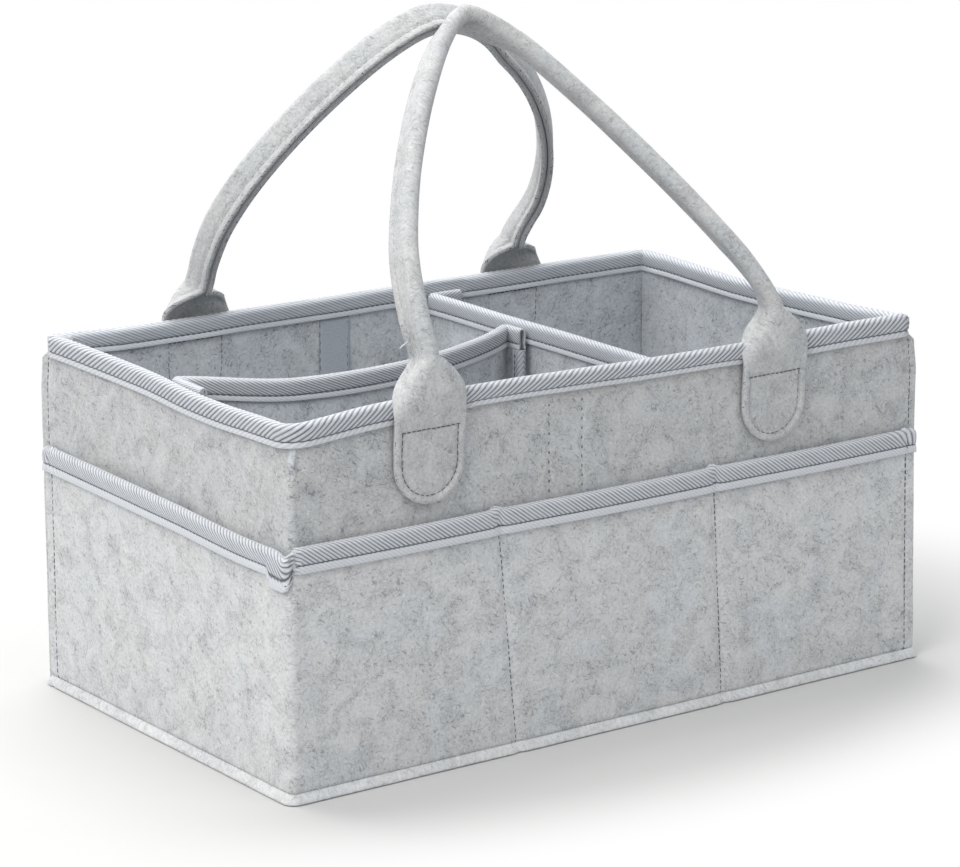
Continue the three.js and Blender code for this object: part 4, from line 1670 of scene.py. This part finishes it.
# how far below the neck a side's crease leaves the edge, its rise to the middle, and how it curves
hoods = {
    ("front", "left"): {"left": (16.3, 33.0, 1.0), "right": (6.1, 24.0, 2.0)},
    ("front", "right"): {"left": (15.8, 32.0, 1.0), "right": (6.1, 21.0, 2.0)},
    ("back", "left"): {"left": (9.8, 27.0, 1.28), "right": (2.6, 18.0, 2.0)},
    ("back", "right"): {"left": (9.8, 27.0, 1.32), "right": (1.8, 18.0, 2.0)},
}
# how far a neck lies aside of its tab's middle at some heights above the rim
neckAside = {
    ("front", "left"): ((8, 0), (15, 2.9), (18, 4.3), (22, 3.9), (28, 3.0), (50, 1.5), (75, 0)),
    ("front", "right"): ((8, 0.6), (12, 4.2), (16, 3.9), (21, 1.4), (30, 0.4), (40, 0)),
    ("back", "left"): ((0, 0), (12, -5.4), (17, -4.8), (24, -2.8), (34, -0.3), (42, 0.5), (60, 0)),
    ("back", "right"): ((0, 0), (12, -7.3), (18, -5.4), (28, -2.4), (42, 0)),
}
neckStart = rimTop - hingeZ + handleForm["neckClear"]
ridgeY = -(tabLow[1] + tabHigh[1]) / 2


def foldedStrip(q, crease, arc, angle):
    # where a point of the strip's width lies, outward and sideways, when both sides turn back at the creases
    reach = np.abs(q)
    start = crease - arc / 2
    turn = angle * np.clip((reach - start) / arc, 0, 1)
    past = np.clip(reach - start - arc, 0, None)
    radius = arc / angle
    outward = -radius * (1 - np.cos(turn)) - past * np.sin(angle)
    sideways = np.minimum(reach, start) + radius * np.sin(turn) + past * np.cos(angle)
    return outward, np.sign(q) * sideways


def settled(along):
    # how far a tab is drawn to the wall below the rim tape
    return handleForm["settle"] * (1 - ease(along, *handleForm["settleEnd"]))


def leanOf(arch, distance):
    # the lean at which the apex comes to the other handle, by halving
    q = np.linspace(0, handleForm["gripStrip"] / 2, 60)
    arc = handleForm["foldArc"]
    outward, sideways = foldedStrip(q, arc / 4, arc / 2, handleForm["foldAngle"])
    inward, wide = -outward.min() + 0.1, sideways.max() + halfFelt
    low, high = 0.0, math.pi / 3
    for _ in range(40):
        angle = (low + high) / 2
        straight = arch["rise"] - neckStart - arch["bend"] * angle
        bent = arch["bend"] * (1 - math.cos(angle))
        reach = bent + (straight + wide) * math.sin(angle) + inward * math.cos(angle)
        low, high = (angle, high) if reach < distance else (low, angle)
    return low


def legLine(side, end):
    # one half of the strip's own line drawn flat, from its tongue's tip up to the apex
    arch, leg = handleArch[side], handleArch[side][end]
    way = -1 if end == "left" else 1
    foot = tabSpots[side, end]
    radius = tabWidth / 2
    turns = np.radians(handleForm["tongueTurns"])
    straight = straightOf(side, end)
    tongue = [(foot, -straight - radius * math.sin(turn)) for turn in turns]
    tab = [(foot, y) for y in np.linspace(-straight, neckStart, 34)[1:]]
    tilt = math.radians(leg["tilt"])
    legTop = np.array([foot, neckStart + leg.get("leg", arch["leg"])])
    apex = np.array([arch["apexX"], arch["rise"]])
    rising = legTop + leg["pull"] * np.array([-way * math.sin(tilt), math.cos(tilt)])
    knots = (legTop, rising, apex + np.array([way * leg["apexPull"], 0]), apex)
    t = np.linspace(0, 1, 400)[:, None]
    weights = ((1 - t) ** 3, 3 * t * (1 - t) ** 2, 3 * t**2 * (1 - t), t**3)
    curve = np.vstack([[(foot, neckStart)], sum(w * k for w, k in zip(weights, knots))])
    run = runLengths(curve)
    even = np.linspace(0, run[-1], int(run[-1] / handleForm["step"]) + 1)
    arm = readAt(even, run, curve)[1:]
    return np.vstack([tongue, tab, smoothed(arm, handleForm["smooth"])])


class Handle:
    def __init__(self, side):
        self.side = side
        self.way = -1 if side == "front" else 1
        self.arch = handleArch[side]
        right, left = legLine(side, "right"), legLine(side, "left")
        self.line = np.vstack([right, left[-2::-1]])
        self.onRight = np.arange(len(self.line)) < len(right)
        self.straight = np.where(self.onRight, straightOf(side, "right"), straightOf(side, "left"))
        above = self.line[:, 1] - neckStart
        asides = (np.interp(above, *zip(*neckAside[side, end])) for end in ("right", "left"))
        self.aside = smoothed(np.where(self.onRight, *asides), handleForm["smooth"])
        meet = ridgeY - self.way * handleForm["meetY"] - handleForm["meetGap"] / 2
        self.lean = leanOf(self.arch, meet)

    def place(self, q):
        # q is the place across the strip for each station, count by rows
        arch, way = self.arch, self.way
        x, along = self.line[:, 0] + self.aside, self.line[:, 1]
        angle = np.clip((along - neckStart) / arch["bend"], 0, self.lean)
        straight = np.clip(along - neckStart - arch["bend"] * self.lean, 0, None)
        inward = arch["bend"] * (1 - np.cos(angle)) + straight * math.sin(self.lean)
        upward = np.minimum(along, neckStart) + arch["bend"] * np.sin(angle) + straight * math.cos(self.lean)
        drops = (tabDrop.get((self.side, end), 0.0) for end in ("right", "left"))
        sunk = np.where(self.onRight, *drops) * (1 - ease(along, *handleForm["sinkEnd"]))
        ridge = np.stack([x, way * (ridgeY - inward - settled(along)), hingeZ + upward - sunk], -1)
        zero = np.zeros_like(angle)
        facing = np.stack([zero, way * np.cos(angle), np.sin(angle)], -1)
        uphill = np.stack([zero, -way * np.sin(angle), np.cos(angle)], -1)
        ahead = unit(np.gradient(self.line, axis=0))
        sidelong = np.array([1.0, 0, 0]) * ahead[:, 1:2] - uphill * ahead[:, 0:1]
        legs = []
        for end in ("right", "left"):
            first, last = arch[end].get("turning", handleForm["turning"])
            legs.append(arch[end]["twist"] * ease(along - neckStart, first, last))
        turned = 1 - ease(along, arch["rise"] - handleForm["twistEnd"], arch["rise"])
        twist = np.radians(np.where(self.onRight, *legs)) * turned
        cos, sin = np.cos(twist)[:, None], np.sin(twist)[:, None]
        outwards, outOfArch = facing * cos + sidelong * sin, sidelong * cos - facing * sin
        onLeft = np.where(self.onRight, -1, 1)[:, None] * q > 0
        parts = {}
        for part in ("left", "right"):
            ends = zip(*(hoods[self.side, end][part] for end in ("right", "left")))
            drop, rise, power = (np.where(self.onRight, *both) for both in ends)
            start = neckStart - drop
            dome = 1 - np.clip((along - start) / rise, 0, 1) ** power
            opening = np.ones(len(along))
            if part == "left":
                opening = ease(along, start, start + rise * handleForm["openPart"])
            angle = handleForm["foldAngle"] * np.maximum(opening, handleForm["leastOpen"])
            soft = handleForm["softFold"] * (1 - ease(along, *handleForm["softReach"]))
            parts[part] = tabWidth / 2 * dome, angle, soft
        start, angle, soft = (
            np.where(onLeft, left[:, None], right[:, None])
            for left, right in zip(parts["left"], parts["right"])
        )
        arc = handleForm["foldArc"] / 2 + soft
        outward, sideways = foldedStrip(q, start + arc / 2, arc, angle)
        half = np.abs(q).max(axis=1, keepdims=True)
        bulge = handleForm["bulge"] * hump(along, *handleForm["bulgeAt"])
        outward = outward + bulge[:, None] * (1 - (q / half) ** 2)
        across = outwards[:, None] * outward[..., None] + outOfArch[:, None] * sideways[..., None]
        return ridge[:, None] + across

    def widths(self):
        along = self.line[:, 1]
        radius = tabWidth / 2
        fall = np.clip((-self.straight - along) / radius, 0, 1)
        hoodStart = neckStart - handleForm["hoodDrop"]
        folded = ease(along, hoodStart, hoodStart + handleForm["neckRun"])
        width = tabWidth + (handleForm["gripStrip"] - tabWidth) * folded
        return width * np.sqrt(1 - fall**2), folded


def tabGroove(handle, q):
    # the line pressed into each tab by its D of stitching
    along = np.broadcast_to(handle.line[:, 1:2], q.shape)
    below = np.clip(-handle.straight[:, None] - along, 0, None)
    half = tabWidth / 2
    toEdge = half - np.hypot(q, below)
    top = tabForm["topZ"] - hingeZ
    bow = hump(toEdge, tabForm["inset"], tabForm["bowReach"]) * (1 - ease(along, top, top + 1.0))
    topEnd = ease(np.abs(q), *(half + past for past in tabForm["topEnd"]))
    line = hump(along, top, tabForm["topReach"]) * (1 - topEnd)
    ring = ease(tabForm["inset"] - toEdge, *tabForm["ringFrom"]) * ease(toEdge, *tabForm["ringEdge"])
    ring = ring * (1 - ease(along, top - 2, top))
    pressed = tabForm["groove"] * np.maximum(bow, line) - tabForm["ring"] * ring
    return pressed * (along < tabForm["grooveEnd"])


def stripRows(side):
    # places across the strip, from edge to edge and closer together near the edges
    t = np.linspace(-1, 1, handleForm["rows"])
    t = np.sign(t) * (1 - (1 - np.abs(t)) ** handleForm["rowPower"])
    return t[::-1] if side == "front" else t


def makeHandle(side):
    handle = Handle(side)
    width, folded = handle.widths()
    q = width[:, None] / 2 * stripRows(side)
    mid = handle.place(q)
    run = runLengths(handle.line)
    toEdge = width[:, None] / 2 - np.abs(q)
    grip = ease(folded, *handleForm["gripFrom"])[:, None]
    longways, crossways = handleForm["waveScale"]
    wave = handleForm["wave"] * ripple(run[:, None] * longways, q * crossways, 6)
    seam = handleForm["groove"] * hump(toEdge, handleForm["edgeSeam"], handleForm["seamReach"])
    outer = halfFelt + (wave - seam) * grip - tabGroove(handle, q)
    uv = np.stack([np.broadcast_to(run[:, None], q.shape), q], -1) + np.array(clothAt[side])
    sheet = Sheet(f"{side}_felt_handle", mid, (outer, halfFelt), uv, swell=handleForm["swell"], cutEdge=True)
    obj = sheet.obj
    for material in (handleFelt, cutFelt):
        obj.data.materials.append(material)
    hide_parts(f"{side}_handle", f"{side}_handle_left_tab", f"{side}_handle_right_tab")
    hinge = handle.way * ridgeY * mm
    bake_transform(obj)
    wall = "front_left" if side == "front" else "back_right"
    sewHandle(handle, sheet, folded, width)


def lengthByX(path, way):
    # the path's length against x, along the face that looks the given way
    s = np.linspace(0, path.total, 3000)
    points, normals = path.at(s)
    face = normals[:, 1] * way > 0.9
    order = np.argsort(points[face, 0] * -way)
    return (points[face, 0] * -way)[order], s[face][order]


wallRun = {-1: lengthByX(frontLeftPath, -1), 1: lengthByX(backRightPath, 1)}


def sewTab(handle, end):
    # the D of stitching on a tab, and the same seen inside the box
    side, way = handle.side, handle.way
    outwards = np.array([0, way, 0])
    wallPath = frontLeftPath if way < 0 else backRightPath
    radius = tabWidth / 2 - tabForm["inset"]
    x = tabSpots[side, end]
    drop = tabDrop.get((side, end), 0.0)
    turns = np.radians(np.linspace(180, 360, 40))
    corner = hingeZ - straightOf(side, end)
    bow = np.column_stack([x + radius * np.cos(turns), corner + radius * np.sin(turns)])
    left, right = (np.array([[x + reach, tabForm["topZ"]]]) for reach in (-radius, radius))
    bow = np.vstack([left, bow, right])
    before, after = tabForm["topOverrun"]
    top = np.vstack([left - [before, 0], right + [after, 0]])
    for line, kind in ((bow, "tabBow"), (top, "tabTop")):
        between = np.linspace(0, 1, 12)[:, None]
        line = np.vstack([first + (second - first) * between for first, second in zip(line[:-1], line[1:])])
        face = way * (ridgeY - settled(line[:, 1] - hingeZ) + halfFelt)
        sewn = np.column_stack([line[:, 0], face, line[:, 1] - drop])
        sew("shell", sewn, outwards, kind, tabForm["groove"] - tabForm["threadProud"])
        at = np.interp((line[:, 0] + innerAside.get((side, end), 0.0)) * -way, *wallRun[way])
        level = line[:, 1] - drop + innerRise[side]
        sew("shell", onBox(wallPath, at, -halfFelt, level), -outwards, kind, 0.0)


def sewHandle(handle, sheet, folded, width):
    # the tabs' stitching, and the seam along the grip's open edges
    for end in ("left", "right"):
        sewTab(handle, end)
    t = stripRows(handle.side)
    order = np.argsort(t)
    for edge in (-1, 1):
        points, normals = [], []
        for i in np.nonzero(folded > handleForm["seamFrom"])[0]:
            spot = edge * (1 - handleForm["edgeSeam"] * 2 / width[i])
            for field, found in ((sheet.outer, points), (sheet.normal, normals)):
                found.append(readAt(spot, t[order], field[i, order]))
        sew(f"{handle.side}_handle", points, unit(np.array(normals)), "grip", 0.15)


# A loose end of thread at the front handle's left neck, far shorter than a cord
looseThread = {
    "points": ((-117.1, -95.0, 202.7), (-114.5, -95.0, 204.5), (-112.0, -95.0, 205.6)),
    "radius": 0.4,
    "sides": 8,
    "rings": 9,
}


def makeLooseThread():
    t = np.linspace(0, 1, looseThread["rings"])[:, None]
    line = bowed(*np.array(looseThread["points"]), t)
    heading = unit(np.gradient(line, axis=0))
    side = unit(np.cross(heading, (0, 0, 1.0)))
    above = np.cross(side, heading)
    turns = np.arange(looseThread["sides"]) / looseThread["sides"] * 2 * math.pi
    around = side[:, None] * np.cos(turns)[None, :, None] + above[:, None] * np.sin(turns)[None, :, None]
    taper = np.sqrt(np.clip(1.02 - (2 * t - 1) ** 8, 0, 1))
    verts = line[:, None] + around * looseThread["radius"] * taper[:, None]
    index = np.arange(verts.shape[0] * verts.shape[1]).reshape(verts.shape[:2])
    beside = np.roll(index, -1, axis=1)
    quads = np.stack([index[:-1], beside[:-1], beside[1:], index[1:]], -1).reshape(-1, 4)
    uv = np.stack(grid(t[:, 0] * 8, turns), -1).reshape(-1, 2)
    obj = newObject("loose_thread_end", verts.reshape(-1, 3), quads, uv[quads])
    dress(obj, "front_handle", "handle_felt", (paleThread,))


for side in handleArch:
    makeHandle(side)
makeLooseThread()
finishStitches()
print("handles and stitches made")


# Camera at the photograph's viewing angle
photoView = {
    "size": (960, 867),
    "focal": 3753.0,
    "azimuth": -35.937,
    "elevation": 14.407,
    "distance": 1.8951,
    "aim": (0, 0, 0.090),
    "aimPixel": (484.08, 500.90),
    "sensor": 36,
    "clipEnd": 50,
}


def makeCamera():
    azimuth, elevation = (math.radians(photoView[key]) for key in ("azimuth", "elevation"))
    flat = math.cos(elevation)
    back = Vector((math.sin(azimuth) * flat, -math.cos(azimuth) * flat, math.sin(elevation)))
    right = Vector((math.cos(azimuth), math.sin(azimuth), 0))
    up = back.cross(right)
    width, height = photoView["size"]
    scale = photoView["distance"] / photoView["focal"]
    aside = (photoView["aimPixel"][0] - width / 2) * scale
    above = (photoView["aimPixel"][1] - height / 2) * scale
    data = bpy.data.cameras.new("camera")
    data.sensor_width = photoView["sensor"]
    data.lens = photoView["focal"] / width * data.sensor_width
    data.clip_end = photoView["clipEnd"]
    camera = bpy.data.objects.new("camera", data)
    camera.location = Vector(photoView["aim"]) - right * aside + up * above + back * photoView["distance"]
    camera.rotation_mode = "QUATERNION"
    camera.rotation_quaternion = (-back).to_track_quat("-Z", "Y")
    bpy.context.scene.collection.objects.link(camera)
    bpy.context.scene.camera = camera


makeCamera()


# Floor, world and lamps
studio = {
    "floor": (202, 202, 200),
    "bounce": (205, 205, 205),
    "sky": (0.46, 0.48, 0.508),
    "spread": (0.62, 1.0, 1.0),
    "white": (0.165, 0.25),
    "floorHalf": 14.0,
    "floorZ": -0.0003,
    "aim": (0, 0, 0.1),
    "lamps": {
        "key": {"power": 37.0, "size": 1.5, "at": (-1.75, -0.6, 1.7), "tint": (1.0, 0.985, 0.965)},
        "top": {"power": 32.0, "size": 1.5, "at": (0.0, 0.8, 1.6), "tint": (1.0, 0.99, 0.98)},
        "fill": {"power": 8.0, "size": 1.6, "at": (0.5, -1.5, 1.7), "tint": (1.0, 0.995, 0.99)},
    },
}


def straightRays(wire):
    # 1 for what the camera sees directly, mirrored or through something clear, 0 for scattered light
    seen = wire.node("ShaderNodeLightPath", {}, {})
    kinds = ("Is Camera Ray", "Is Glossy Ray", "Is Transmission Ray")
    rays = [Wire(wire.tree, seen.socket.node.outputs[kind]) for kind in kinds]
    return (rays[0] + rays[1] + rays[2]).clamped()


def makeFloor():
    half, level = studio["floorHalf"], studio["floorZ"]
    mesh = bpy.data.meshes.new("floor")
    corners = [(x * half, y * half, level) for x, y in ((-1, -1), (1, -1), (1, 1), (-1, 1))]
    mesh.from_pydata(corners, [], [(0, 1, 2, 3)])
    floor = bpy.data.objects.new("floor", mesh)
    bpy.context.scene.collection.objects.link(floor)
    material = bpy.data.materials.new("pale floor")
    material.use_nodes = True
    tree = material.node_tree
    tree.nodes.clear()
    wire = Wire(tree)
    place = wire.node("ShaderNodeNewGeometry", {}, {})
    spread = wire.vectorMaths("MULTIPLY", {0: place, 1: studio["spread"]})
    distance = wire.vectorMaths("LENGTH", {0: spread}, 1)
    straight = straightRays(wire)
    far = distance.between(*studio["white"]) * straight
    shown = straight.blend(tone(studio["bounce"]), tone(studio["floor"]))
    matt = wire.node("ShaderNodeBsdfDiffuse", {}, {"Color": shown})
    white = wire.node("ShaderNodeEmission", {}, {"Color": (1, 1, 1, 1), "Strength": 1.0})
    surface = wire.node("ShaderNodeMixShader", {}, {0: far, 1: matt, 2: white})
    wire.node("ShaderNodeOutputMaterial", {}, {"Surface": surface})
    mesh.materials.append(material)


def makeLight():
    world = bpy.data.worlds.new("studio")
    world.use_nodes = True
    tree = world.node_tree
    tree.nodes.clear()
    wire = Wire(tree)
    soft = wire.node("ShaderNodeBackground", {}, {"Color": (*studio["sky"], 1), "Strength": 1.0})
    white = wire.node("ShaderNodeBackground", {}, {"Color": (1, 1, 1, 1), "Strength": 1.0})
    surface = wire.node("ShaderNodeMixShader", {}, {0: straightRays(wire), 1: soft, 2: white})
    wire.node("ShaderNodeOutputWorld", {}, {"Surface": surface})
    bpy.context.scene.world = world
    for name, settings in studio["lamps"].items():
        lamp = bpy.data.lights.new(name, "AREA")
        lamp.energy = settings["power"]
        lamp.size = settings["size"]
        lamp.color = settings["tint"]
        softbox = bpy.data.objects.new(name, lamp)
        softbox.location = settings["at"]
        aim = Vector(studio["aim"]) - softbox.location
        softbox.rotation_mode = "QUATERNION"
        softbox.rotation_quaternion = aim.to_track_quat("-Z", "Y")
        bpy.context.scene.collection.objects.link(softbox)
    bpy.context.scene.view_settings.view_transform = "Standard"


makeFloor()
makeLight()
print("stage made")
